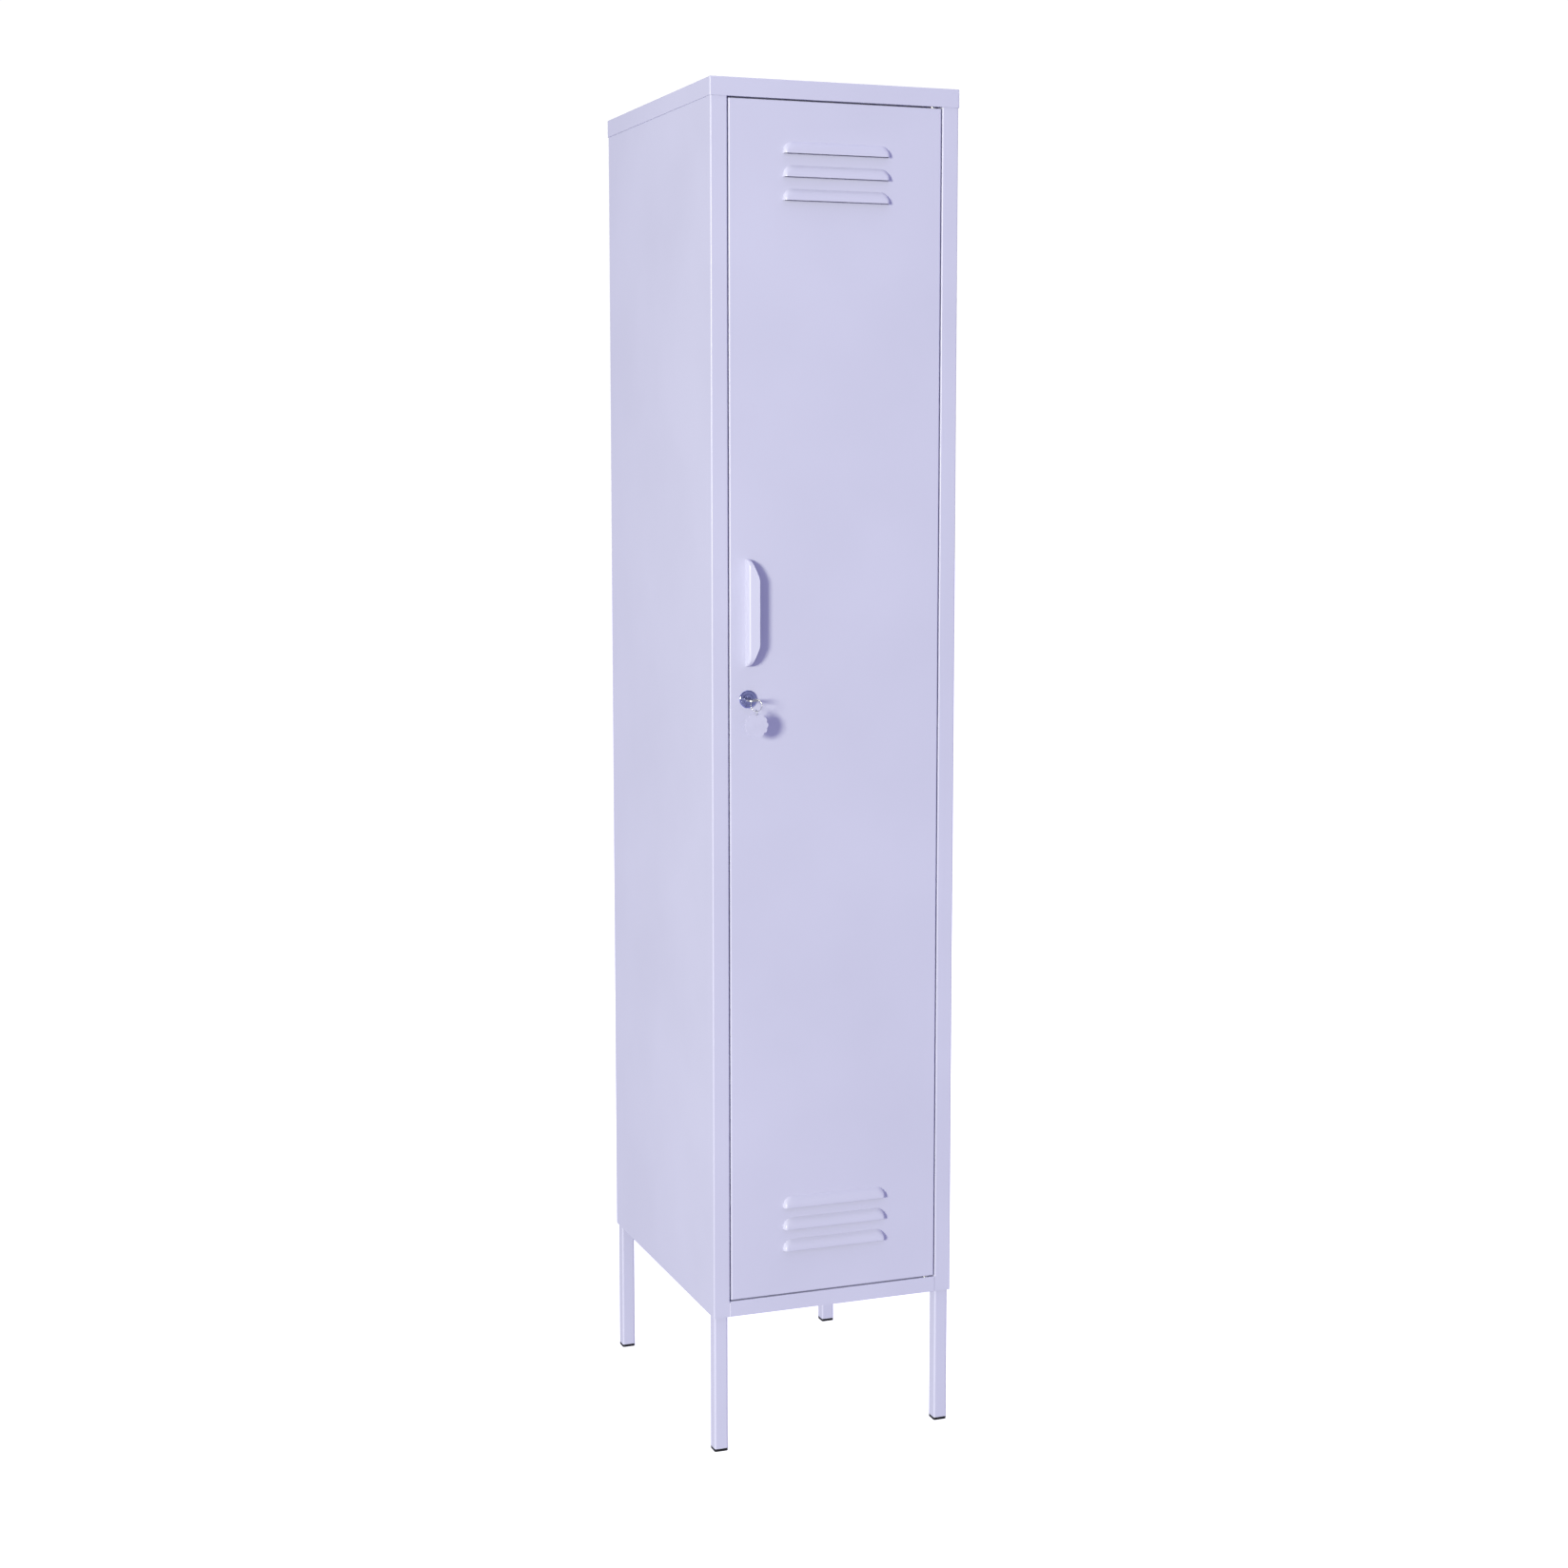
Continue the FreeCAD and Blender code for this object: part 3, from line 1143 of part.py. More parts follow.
save("magnet_catch_body", magnet_catch_body())
save("catch_magnet", catch_magnet())
save("catch_screws", *catch_screws())
save("catch_keeper", catch_keeper())

save("lock_housing", lock_housing())
save("lock_nut", lock_nut())
save("lock_plug", lock_plug())
save("lock_cam", lock_cam())
save("cam_screw", cam_screw())
save("key", key())
save("split_ring", split_ring())
save("jump_ring", jump_ring())
save("key_tag", key_tag())

print("nodes", len(exported))
print("door hinge axis", round(hinge.x, 3), round(hinge.y, 3))
print("lock axis", round(lock.x, 3), round(lock.y, 3), round(lock.z, 3))
print("tag pivot", [round(value, 3) for value in tag_pivot()])
print("front", round(front, 3), "cap front", round(cap_front, 3), "hat shelf", shelf_top(hat_z))
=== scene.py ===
# %% [markdown]
# A tall, narrow school locker in lilac powder-coated sheet steel: one louvred door with a
# pull and a cam lock, a key with a ring and a tag in it, and shelves, hooks and a rail inside.
# The CAD frame is loaded first. It says where every piece is, so nothing here is fitted by eye.

# %% Load the frame
import json
import math
import bmesh
import bpy
from mathutils import Matrix, Vector

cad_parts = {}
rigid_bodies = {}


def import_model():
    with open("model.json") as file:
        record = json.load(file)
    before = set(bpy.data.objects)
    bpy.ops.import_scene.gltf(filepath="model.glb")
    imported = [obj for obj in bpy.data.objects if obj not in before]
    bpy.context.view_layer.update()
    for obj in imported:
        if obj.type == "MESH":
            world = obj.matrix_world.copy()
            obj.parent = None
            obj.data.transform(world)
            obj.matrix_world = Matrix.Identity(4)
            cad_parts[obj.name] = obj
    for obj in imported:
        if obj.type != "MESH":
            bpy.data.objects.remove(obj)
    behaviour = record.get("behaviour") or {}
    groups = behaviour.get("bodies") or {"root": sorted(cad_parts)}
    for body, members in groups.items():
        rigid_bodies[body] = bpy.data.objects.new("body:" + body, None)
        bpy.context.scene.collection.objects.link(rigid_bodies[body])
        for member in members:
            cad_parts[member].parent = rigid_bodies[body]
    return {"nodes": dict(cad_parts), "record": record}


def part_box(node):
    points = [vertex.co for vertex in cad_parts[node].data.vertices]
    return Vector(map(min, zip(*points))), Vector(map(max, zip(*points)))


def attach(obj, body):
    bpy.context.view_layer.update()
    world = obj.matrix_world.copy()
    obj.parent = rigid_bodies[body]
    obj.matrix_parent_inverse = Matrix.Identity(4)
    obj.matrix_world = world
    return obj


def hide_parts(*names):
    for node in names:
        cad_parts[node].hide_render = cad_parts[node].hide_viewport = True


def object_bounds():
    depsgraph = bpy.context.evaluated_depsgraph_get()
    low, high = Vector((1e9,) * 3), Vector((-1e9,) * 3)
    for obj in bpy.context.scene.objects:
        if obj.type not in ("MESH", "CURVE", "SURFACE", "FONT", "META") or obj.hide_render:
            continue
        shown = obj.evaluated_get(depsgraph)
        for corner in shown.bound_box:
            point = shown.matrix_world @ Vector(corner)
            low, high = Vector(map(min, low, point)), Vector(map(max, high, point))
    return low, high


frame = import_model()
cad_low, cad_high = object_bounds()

MM = 0.001
nodes = frame["nodes"]
joints = {joint["name"]: joint for joint in frame["record"]["behaviour"]["joints"]}
print("CAD box", [round(v, 4) for v in cad_low], [round(v, 4) for v in cad_high])

# %% [markdown]
# Colours are picked on screen as sRGB hex values, but Cycles mixes light in linear numbers.
# One function turns the first into the second. A second small function adds a node, sets its
# options and joins its inputs, for shader trees and Geometry Nodes trees alike.

# %% Colour and node helpers
def linear(hex_colour):
    """Linear RGBA from an sRGB hex colour."""
    values = []
    for i in (1, 3, 5):
        level = int(hex_colour[i:i + 2], 16) / 255
        values.append(level / 12.92 if level <= 0.04045 else ((level + 0.055) / 1.055) ** 2.4)
    return (*values, 1.0)


def add(tree, kind, inputs=None, **options):
    """Adds a node; an input is a value, a socket to link, or a node for its first output."""
    node = tree.nodes.new(kind)
    for name, value in options.items():
        setattr(node, name, value)
    for key, value in (inputs or {}).items():
        if isinstance(value, bpy.types.Node):
            value = value.outputs[0]
        if isinstance(value, bpy.types.NodeSocket):
            tree.links.new(value, node.inputs[key])
        else:
            node.inputs[key].default_value = value
    return node


def grain(size_mm):
    """Noise scale for a pattern whose grains are that many millimetres across."""
    return 1000 / size_mm


# %% [markdown]
# A finish is a Principled shader with three things on top of its plain values: a slow drift in
# colour, a finer drift in gloss, and a bump. Every one of them reads Object coordinates, so it is
# fixed to the metal. The sizes are real ones in millimetres. Values that are the same all over
# stay on the shader's own sockets.

# %% The finish builder
DRIFT_BAND = (0.35, 0.65)
FINE_BAND = (0.3, 0.7)
RELIEF = 0.1 * MM


def finish(name, colours, roughness, drift_mm, bump_mm, bump, stretch=(1, 1, 1), **sockets):
    """A material: colours drift between two hex values, roughness between two numbers."""
    made = bpy.data.materials.new(name)
    made.use_nodes = True
    tree = made.node_tree
    tree.nodes.clear()
    place = add(tree, "ShaderNodeTexCoord").outputs["Object"]
    along = add(tree, "ShaderNodeMapping", {"Vector": place, "Scale": stretch})
    drift = add(tree, "ShaderNodeTexNoise", {"Vector": place, "Scale": grain(drift_mm),
                                             "Detail": 3.0})
    fine = add(tree, "ShaderNodeTexNoise", {"Vector": along, "Scale": grain(bump_mm),
                                            "Detail": 2.0})
    tint = add(tree, "ShaderNodeValToRGB", {"Fac": drift.outputs["Fac"]})
    for stop, position, colour in zip(tint.color_ramp.elements, DRIFT_BAND, colours):
        stop.position = position
        stop.color = linear(colour)
    gloss = add(tree, "ShaderNodeMapRange", {
        "Value": fine.outputs["Fac"], "From Min": FINE_BAND[0], "From Max": FINE_BAND[1],
        "To Min": roughness[0], "To Max": roughness[1]})
    relief = add(tree, "ShaderNodeBump", {"Height": fine.outputs["Fac"], "Strength": bump,
                                          "Distance": RELIEF})
    shader = add(tree, "ShaderNodeBsdfPrincipled", {"Base Color": tint.outputs["Color"],
                                                    "Roughness": gloss.outputs["Result"],
                                                    "Normal": relief.outputs["Normal"]})
    for socket, value in sockets.items():
        shader.inputs[socket.replace("_", " ")].default_value = value
    add(tree, "ShaderNodeOutputMaterial", {"Surface": shader.outputs["BSDF"]})
    return made


# %% [markdown]
# Powder coat is a plastic powder, sprayed on dry and baked until it flows. It never flows quite
# flat, so it keeps a faint orange peel about 2 mm across, and it is satin, not mirror bright.
# The drift in colour is only what a sheet shows from one end to the other.

# %% Powder coat, on all the sheet metal
powder_coat = finish("lilac_powder_coat", ("#CCCCE3", "#D0D0E7"), (0.30, 0.38), drift_mm=240,
                     bump_mm=2.2, bump=0.10, IOR=1.5)

# %% [markdown]
# The small hardware is zinc-plated steel: grey with a cool cast, brighter where the plating is
# thick. The lock and the hanging rail are chromed, which is nearly a mirror. Their colour is
# chrome's own slight blue cast pushed much bluer, a painted reflection of a navy room. The key
# and its rings are nickel, more neutral and a little brushed from being handled in a pocket.

# %% Metals
zinc_plate = finish("bright_zinc_plate", ("#B9BDC4", "#D2D3D3"), (0.26, 0.42), drift_mm=6,
                    bump_mm=0.9, bump=0.08, Metallic=1.0)
# Painted reflection: the chrome colour is far bluer than chrome's own cast, standing in for
# reflected navy.
chrome = finish("polished_chrome_plate", ("#A6AADB", "#BCC0EC"), (0.07, 0.13), drift_mm=12,
                bump_mm=3.0, bump=0.02, Metallic=1.0)
nickel = finish("nickel_plate", ("#C8C8CC", "#D8D8DB"), (0.20, 0.34), drift_mm=5,
                bump_mm=0.8, bump=0.10, stretch=(1, 0.15, 1), Metallic=1.0)

# %% [markdown]
# Moulded plastic takes the fine spark-eroded texture of its mould, drawn here a little coarser
# than the real 0.2 mm so that it shows. Rubber is duller still, nylon lets a little light in, and
# a ferrite magnet is a grey ceramic with dark grains. The tag is enamelled in the door's colour.

# %% Plastics, rubber, ferrite and enamel
black_plastic = finish("moulded_black_plastic", ("#101014", "#18181D"), (0.42, 0.55), drift_mm=20,
                       bump_mm=0.6, bump=0.25, IOR=1.5)
rubber = finish("soft_black_rubber", ("#151517", "#1E1E20"), (0.70, 0.85), drift_mm=12,
                bump_mm=0.8, bump=0.30, IOR=1.52)
nylon = finish("natural_nylon", ("#DEDACD", "#E8E4D8"), (0.38, 0.50), drift_mm=6, bump_mm=1.0,
               bump=0.12, IOR=1.53, Subsurface_Weight=0.15, Subsurface_Scale=0.002)
ferrite = finish("sintered_ferrite", ("#242428", "#37373C"), (0.50, 0.70), drift_mm=1.2,
                 bump_mm=0.7, bump=0.35, IOR=2.0)
tag_enamel = finish("lilac_enamel", ("#CCCCE3", "#D1D1E8"), (0.20, 0.28), drift_mm=15,
                    bump_mm=3.0, bump=0.05, IOR=1.5, Coat_Weight=0.4, Coat_Roughness=0.12)

# %% [markdown]
# Most CAD parts already have the right shape: panels, shelves, legs and brackets are folded
# sheet with real bends. They keep their shape and only get a finish, chosen by the material slot
# that the part's record names for each.

# %% Finishes for the CAD parts that stay
finishes = {"powder_coat": powder_coat, "zinc_plate": zinc_plate, "chrome": chrome,
            "nickel": nickel, "black_plastic": black_plastic, "nylon": nylon, "rubber": rubber,
            "ferrite": ferrite, "tag_enamel": tag_enamel}
for part in frame["record"]["subparts"]:
    shown = nodes[part["node"]]
    if not shown.material_slots:
        shown.data.materials.append(finishes[part["material_slot"]])
    for place in shown.material_slots:
        place.material = finishes[part["material_slot"]]
print("finished", len(nodes), "CAD parts")

# %% [markdown]
# The helpers for mesh work come next. A mesh is built point by point, its doubles are merged and
# its faces are turned outwards before it gets a thickness. Modifiers are worked in at once, so
# that each finished piece is a plain mesh at the origin. Edges sharper than a set angle stay
# crisp, and weighted normals keep the broad faces flat up to the bends.

# %% Mesh helpers
CREASE = math.radians(38)
WELD = 0.01 * MM


def object_from(form, name):
    """An object at the origin from a bmesh."""
    mesh = bpy.data.meshes.new(name)
    form.to_mesh(mesh)
    form.free()
    piece = bpy.data.objects.new(name, mesh)
    bpy.context.scene.collection.objects.link(piece)
    return piece


def worked_in(piece):
    """Makes the modifiers part of the mesh and removes them."""
    graph = bpy.context.evaluated_depsgraph_get()
    mesh = bpy.data.meshes.new_from_object(piece.evaluated_get(graph))
    piece.modifiers.clear()
    piece.data = mesh
    mesh.name = piece.name
    return piece


def modified(piece, kind, **options):
    """Adds one modifier with its options."""
    modifier = piece.modifiers.new(kind.lower(), kind)
    for name, value in options.items():
        setattr(modifier, name, value)


def given_wall(piece, thickness):
    """Thickens a sheet on its inner side."""
    modified(piece, "SOLIDIFY", thickness=thickness, offset=-1.0, use_even_offset=True)


def bevelled(piece, width, degrees, segments=2):
    """Rounds the edges that turn by more than these degrees."""
    modified(piece, "BEVEL", width=width, segments=segments, limit_method="ANGLE",
             angle_limit=math.radians(degrees))


def smoothed(piece):
    """Smooth shading with crisp creases and flat broad faces."""
    for face in piece.data.polygons:
        face.use_smooth = True
    piece.data.set_sharp_from_angle(angle=CREASE)
    modified(piece, "WEIGHTED_NORMAL", keep_sharp=True, weight=80)
    return worked_in(piece)


def finished(piece, body, slot, *replaced):
    """Gives a piece its finish, its body and the CAD parts that it stands for."""
    piece.data.materials.clear()
    piece.data.materials.append(finishes[slot])
    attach(piece, body)
    if replaced:
        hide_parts(*replaced)
    print(piece.name, "faces", len(piece.data.polygons))


# %% [markdown]
# Round things are turned: a half profile, given as radius and height, is carried round the Z
# axis. The same helper makes nuts and bolt heads, with six steps and not a full round. A profile
# that starts and ends on the axis is closed there, and one that doesn't is joined end to end,
# like a ring.

# %% A lathe
def turned(profile, steps, place=Matrix.Identity(4)):
    """A bmesh made by turning a profile of (radius, height) points in metres."""
    form = bmesh.new()
    rings = []
    for radius, height in profile:
        ring = []
        for i in range(steps):
            angle = 2 * math.pi * i / steps
            spot = (radius * math.cos(angle), radius * math.sin(angle), height)
            ring.append(form.verts.new(spot))
        rings.append(ring)
    if profile[0][0] > 0:
        rings.append(rings[0])
    for low, high in zip(rings, rings[1:]):
        for i in range(steps):
            j = (i + 1) % steps
            form.faces.new((low[i], low[j], high[j], high[i]))
    bmesh.ops.remove_doubles(form, verts=form.verts, dist=WELD)
    bmesh.ops.recalc_face_normals(form, faces=form.faces)
    bmesh.ops.transform(form, matrix=place, verts=form.verts)
    return form


def facing(origin, direction):
    """Places something made along Z so that it stands at origin and points along direction."""
    turn = Vector((0, 0, 1)).rotation_difference(Vector(direction)).to_matrix().to_4x4()
    return Matrix.Translation(origin) @ turn


# %% [markdown]
# Geometry Nodes does the repeating work. Each tree has named inputs with real sizes, and it ends
# by making its instances real and giving them a material. The inputs are set by their
# identifiers before anything is evaluated.

# %% Geometry Nodes helpers
def new_tree(name, sizes):
    """A node group with a geometry and a material input, and one float input for each size."""
    tree = bpy.data.node_groups.new(name, "GeometryNodeTree")
    tree.interface.new_socket("Geometry", in_out="INPUT", socket_type="NodeSocketGeometry")
    tree.interface.new_socket("Material", in_out="INPUT", socket_type="NodeSocketMaterial")
    for size, kind in sizes.items():
        tree.interface.new_socket(size, in_out="INPUT", socket_type="NodeSocket" + kind)
    tree.interface.new_socket("Geometry", in_out="OUTPUT", socket_type="NodeSocketGeometry")
    return tree, add(tree, "NodeGroupInput").outputs


def end_tree(tree, given, geometry):
    """Realize Instances and Set Material, then the group's output."""
    real = add(tree, "GeometryNodeRealizeInstances", {"Geometry": geometry})
    coated = add(tree, "GeometryNodeSetMaterial", {"Geometry": real,
                                                   "Material": given["Material"]})
    add(tree, "NodeGroupOutput", {"Geometry": coated})


def grown(piece, tree, material, **values):
    """Runs a tree on a piece with these inputs and keeps the result as a plain mesh."""
    modifier = piece.modifiers.new(tree.name, "NODES")
    modifier.node_group = tree
    values["Material"] = material
    for item in tree.interface.items_tree:
        key = item.name.replace(" ", "_")
        if item.in_out == "INPUT" and key in values:
            modifier[item.identifier] = values[key]
    return worked_in(piece)


# %% [markdown]
# The louvres are pressed out of the door's own sheet: a long hood, open along its lower edge, with
# rounded ends and two round upper corners. Each is a grid bent by a rule. Its columns crowd
# towards the ends by a sine, its top follows the corner's circle, and its depth falls from the lip
# to the top and to both ends. Three of them stand in a bank, one pitch apart.

# %% The louvre tree
MATH = "ShaderNodeMath"
HOOD_CURL = 2.6


def louvre_tree():
    """Hoods on a line of points, each a bent grid in the X-Z plane that stands out towards -Y."""
    tree, given = new_tree("louvre_bank", {
        "Length": "Float", "Height": "Float", "Proud": "Float", "Corner": "Float",
        "End Round": "Float", "Pitch": "Float", "Count": "Int", "Columns": "Int", "Rows": "Int"})
    grid = add(tree, "GeometryNodeMeshGrid", {"Size X": 2.0, "Size Y": 1.0,
                                              "Vertices X": given["Columns"],
                                              "Vertices Y": given["Rows"]})
    spot = add(tree, "ShaderNodeSeparateXYZ", {0: add(tree, "GeometryNodeInputPosition")})
    up = add(tree, MATH, {0: spot.outputs["Y"], 1: 0.5}, operation="ADD")
    turn = add(tree, MATH, {0: spot.outputs["X"], 1: math.pi / 2}, operation="MULTIPLY")
    wave = add(tree, MATH, {0: turn}, operation="SINE")
    half = add(tree, MATH, {0: given["Length"], 1: 0.5}, operation="MULTIPLY")
    x = add(tree, MATH, {0: wave, 1: half}, operation="MULTIPLY")
    reach = add(tree, MATH, {0: x}, operation="ABSOLUTE")
    # The top line: level, then down the corner's quarter circle.
    straight = add(tree, MATH, {0: half, 1: given["Corner"]}, operation="SUBTRACT")
    over = add(tree, MATH, {0: reach, 1: straight}, operation="SUBTRACT")
    over = add(tree, MATH, {0: over, 1: 0.0}, operation="MAXIMUM")
    over = add(tree, MATH, {0: over, 1: over}, operation="MULTIPLY")
    square = add(tree, MATH, {0: given["Corner"], 1: given["Corner"]}, operation="MULTIPLY")
    rise = add(tree, MATH, {0: square, 1: over}, operation="SUBTRACT")
    rise = add(tree, MATH, {0: rise, 1: 0.0}, operation="MAXIMUM")
    rise = add(tree, MATH, {0: rise}, operation="SQRT")
    side = add(tree, MATH, {0: given["Height"], 1: given["Corner"]}, operation="SUBTRACT")
    top = add(tree, MATH, {0: side, 1: rise}, operation="ADD")
    z = add(tree, MATH, {0: up, 1: top}, operation="MULTIPLY")
    # The depth: a rounded end in plan, and a rounded hood in section.
    left = add(tree, MATH, {0: half, 1: reach}, operation="SUBTRACT")
    left = add(tree, MATH, {0: left, 1: given["End Round"]}, operation="DIVIDE", use_clamp=True)
    left = add(tree, MATH, {0: 1.0, 1: left}, operation="SUBTRACT")
    left = add(tree, MATH, {0: left, 1: left}, operation="MULTIPLY")
    left = add(tree, MATH, {0: 1.0, 1: left}, operation="SUBTRACT", use_clamp=True)
    ends = add(tree, MATH, {0: left}, operation="SQRT")
    hood = add(tree, MATH, {0: up, 1: HOOD_CURL}, operation="POWER")
    hood = add(tree, MATH, {0: 1.0, 1: hood}, operation="SUBTRACT")
    depth = add(tree, MATH, {0: ends, 1: hood}, operation="MULTIPLY")
    depth = add(tree, MATH, {0: depth, 1: given["Proud"]}, operation="MULTIPLY")
    out = add(tree, MATH, {0: depth, 1: -1.0}, operation="MULTIPLY")
    place = add(tree, "ShaderNodeCombineXYZ", {"X": x, "Y": out, "Z": z})
    bent = add(tree, "GeometryNodeSetPosition", {"Geometry": grid.outputs["Mesh"],
                                                 "Position": place})
    step = add(tree, "ShaderNodeCombineXYZ", {"Z": given["Pitch"]})
    line = add(tree, "GeometryNodeMeshLine", {"Count": given["Count"], "Offset": step})
    bank = add(tree, "GeometryNodeInstanceOnPoints", {"Points": line.outputs["Mesh"],
                                                      "Instance": bent.outputs["Geometry"]})
    end_tree(tree, given, bank.outputs["Instances"])
    return tree


LOUVRE_LENGTH = 149 * MM
LOUVRE_HEIGHT = 15 * MM
LOUVRE_PROUD = 6.5 * MM
LOUVRE_CORNER = 12 * MM
LOUVRE_END = 4.5 * MM
LOUVRE_PITCH = 30 * MM
LOUVRE_COUNT = 3
LOUVRE_COLUMNS = 49
LOUVRE_ROWS = 9
door_low, door_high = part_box("door_skin")
front = door_low.y + LOUVRE_PROUD
UPPER_BANK_DROP = 67 * MM
LOWER_BANK_RISE = 61 * MM
upper_bank = door_high.z - UPPER_BANK_DROP - (LOUVRE_COUNT - 1) * LOUVRE_PITCH
lower_bank = door_low.z + LOWER_BANK_RISE
bank_tree = louvre_tree()


def louvre_bank(bottom):
    """One bank of hoods whose lowest lip is at that height."""
    bank = grown(object_from(bmesh.new(), "bank"), bank_tree, powder_coat, Length=LOUVRE_LENGTH,
                 Height=LOUVRE_HEIGHT, Proud=LOUVRE_PROUD, Corner=LOUVRE_CORNER,
                 End_Round=LOUVRE_END, Pitch=LOUVRE_PITCH, Count=LOUVRE_COUNT,
                 Columns=LOUVRE_COLUMNS, Rows=LOUVRE_ROWS)
    bank.data.transform(Matrix.Translation((0, front, bottom)))
    return bank


# %% [markdown]
# The door is a pan: a flat face, a bend, a side, a second bend and a lip, on all four edges.
# The trick is to describe that run once and use it both across and up. Each grid point takes its
# depth from whichever direction is deeper, which gives mitred corners for free. The grid's lines
# also pass through every louvre's own columns and rows, so that the hoods weld into their windows.

# %% The folded pan's grid
SHEET = 0.8 * MM
BEND = 1.6 * MM
PAN_DEPTH = door_high.y - front
PAN_LIP = 12 * MM
BUSH_ROW = 11.6 * MM
FLAT_STRIP = 0.4 * MM


def edge_run():
    """From the flat face out round the edge: (distance in from the edge, depth, mitre inset)."""
    run = [(BEND + FLAT_STRIP, 0, 0)]
    for degrees in (0, 22.5, 45, 67.5, 90):
        angle = math.radians(degrees)
        run.append((BEND * (1 - math.sin(angle)), BEND * (1 - math.cos(angle)), 0))
    run.append((0, BUSH_ROW, 0))
    for degrees in (0, 30, 60, 90):
        angle = math.radians(degrees)
        inset = SHEET * (1 - math.cos(angle))
        run.append((inset, PAN_DEPTH - SHEET * (1 - math.sin(angle)), inset))
    run.append((PAN_LIP, PAN_DEPTH, PAN_LIP))
    return run


def sample_lines(low, high, inner):
    """(place, depth, mitre inset) for every grid line from low to high."""
    run = edge_run()
    lines = [(low + back, depth, inset) for back, depth, inset in reversed(run)]
    lines += [(place, 0, 0) for place in inner]
    return lines + [(high - back, depth, inset) for back, depth, inset in run]


def louvre_top(x):
    """Height of a louvre's top line above its lip, at x."""
    over = max(abs(x) - (LOUVRE_LENGTH / 2 - LOUVRE_CORNER), 0)
    if over >= LOUVRE_CORNER:
        return LOUVRE_HEIGHT - LOUVRE_CORNER
    return LOUVRE_HEIGHT - LOUVRE_CORNER + math.sqrt(LOUVRE_CORNER ** 2 - over ** 2)


lock_at = Vector(joints["key_turn"]["pos_m"])
hinge_at = Vector(joints["door_swing"]["pos_m"])
BARREL_HOLE = 8.1 * MM
BARREL_CELL = 10 * MM
BUSH_HOLE = 4.2 * MM
BUSH_CELL = 5.0 * MM
half_width = door_high.x
middle_z = (door_low.z + door_high.z) / 2
columns = [LOUVRE_LENGTH / 2 * math.sin(math.pi * (i / (LOUVRE_COLUMNS - 1) - 0.5))
           for i in range(LOUVRE_COLUMNS)]
across = sample_lines(-half_width, half_width, [
    lock_at.x - BARREL_CELL, lock_at.x + BARREL_CELL, *columns,
    hinge_at.x - BUSH_CELL, hinge_at.x + BUSH_CELL])
rows = []
for base in (lower_bank, upper_bank):
    for i in range(LOUVRE_COUNT):
        rows += [(base + i * LOUVRE_PITCH, j / (LOUVRE_ROWS - 1)) for j in range(LOUVRE_ROWS)]
lock_rows = [(lock_at.z - BARREL_CELL, 0), (lock_at.z + BARREL_CELL, 0)]
bank_rows = len(rows) // 2
rows = rows[:bank_rows] + lock_rows + rows[bank_rows:]
upward = sample_lines(door_low.z, door_high.z, rows)
print("door grid", len(across), "by", len(upward))

# %% [markdown]
# Now the grid becomes a mesh. Windows are left for the louvres, and the cells round the lock
# barrel and the two hinge bushes get a round hole. The banks are welded in, the faces are turned
# outwards, and Solidify gives the sheet its 0.8 mm on the inner side.

# %% The door panel
def pan_point(column, row):
    """Where a column line and a row line cross."""
    x, x_depth, x_inset = column
    z, z_depth, z_inset = row
    if isinstance(z, tuple):
        z = z[0] + z[1] * louvre_top(x)
    x_shown = x * (1 - z_inset / half_width)
    z_shown = middle_z + (z - middle_z) * (1 - x_inset / (door_high.z - middle_z))
    return Vector((x_shown, front + max(x_depth, z_depth), z_shown))


def holed(form, corners, centre, radius, normal):
    """Fills a four-cornered cell with a flat plate that has a round hole."""
    steps = 32
    first = (corners[0].co - centre).normalized()
    second = normal.cross(first)
    rim = []
    for i in range(steps):
        angle = 2 * math.pi * i / steps
        outward = first * math.cos(angle) + second * math.sin(angle)
        rim.append(form.verts.new(centre + outward * radius))
    place = [math.atan2((c.co - centre).dot(second), (c.co - centre).dot(first)) for c in corners]
    starts = [round(angle / (2 * math.pi) * steps) % steps for angle in place]
    for k in range(4):
        begin, end = starts[k], starts[(k + 1) % 4]
        span = (end - begin) % steps
        back = span > steps / 2
        arc = [rim[(begin - i if back else begin + i) % steps]
               for i in range((steps - span if back else span) + 1)]
        form.faces.new([corners[k], *arc, corners[(k + 1) % 4]])


form = bmesh.new()
points = {}
for i, column in enumerate(across):
    for j, row in enumerate(upward):
        if not (column[2] > 0 and row[2] > 0):
            points[i, j] = form.verts.new(pan_point(column, row))


def is_window(i, j):
    """True where a louvre's hood takes the place of this cell."""
    low, high = upward[j][0], upward[j + 1][0]
    if not (isinstance(low, tuple) and isinstance(high, tuple) and high[1] > low[1]):
        return False
    reach = max(abs(across[i][0]), abs(across[i + 1][0]))
    return high[0] == low[0] and reach <= LOUVRE_LENGTH / 2 + WELD


def beyond(lines, k):
    """True for a cell that lies past the front's bend."""
    return max(lines[k][1], lines[k + 1][1]) > BEND + WELD


BUSH_REACH = 1 * MM
barrel = Vector((lock_at.x, front, lock_at.z))
bushes = [Vector((hinge_at.x, hinge_at.y, z)) for z in (door_low.z, door_high.z)]
for i in range(len(across) - 1):
    for j in range(len(upward) - 1):
        if (beyond(across, i) and beyond(upward, j)) or is_window(i, j):
            continue
        corners = [points.get(key) for key in ((i, j), (i + 1, j), (i + 1, j + 1), (i, j + 1))]
        if None in corners:
            continue
        cell_middle = sum((corner.co for corner in corners), Vector()) / 4
        if (cell_middle - barrel).length < BARREL_CELL / 2:
            holed(form, corners, barrel, BARREL_HOLE, Vector((0, -1, 0)))
            continue
        near = [bush for bush in bushes if (cell_middle - bush).length < BUSH_REACH]
        if near:
            holed(form, corners, near[0], BUSH_HOLE, Vector((0, 0, 1)))
            continue
        form.faces.new(corners)
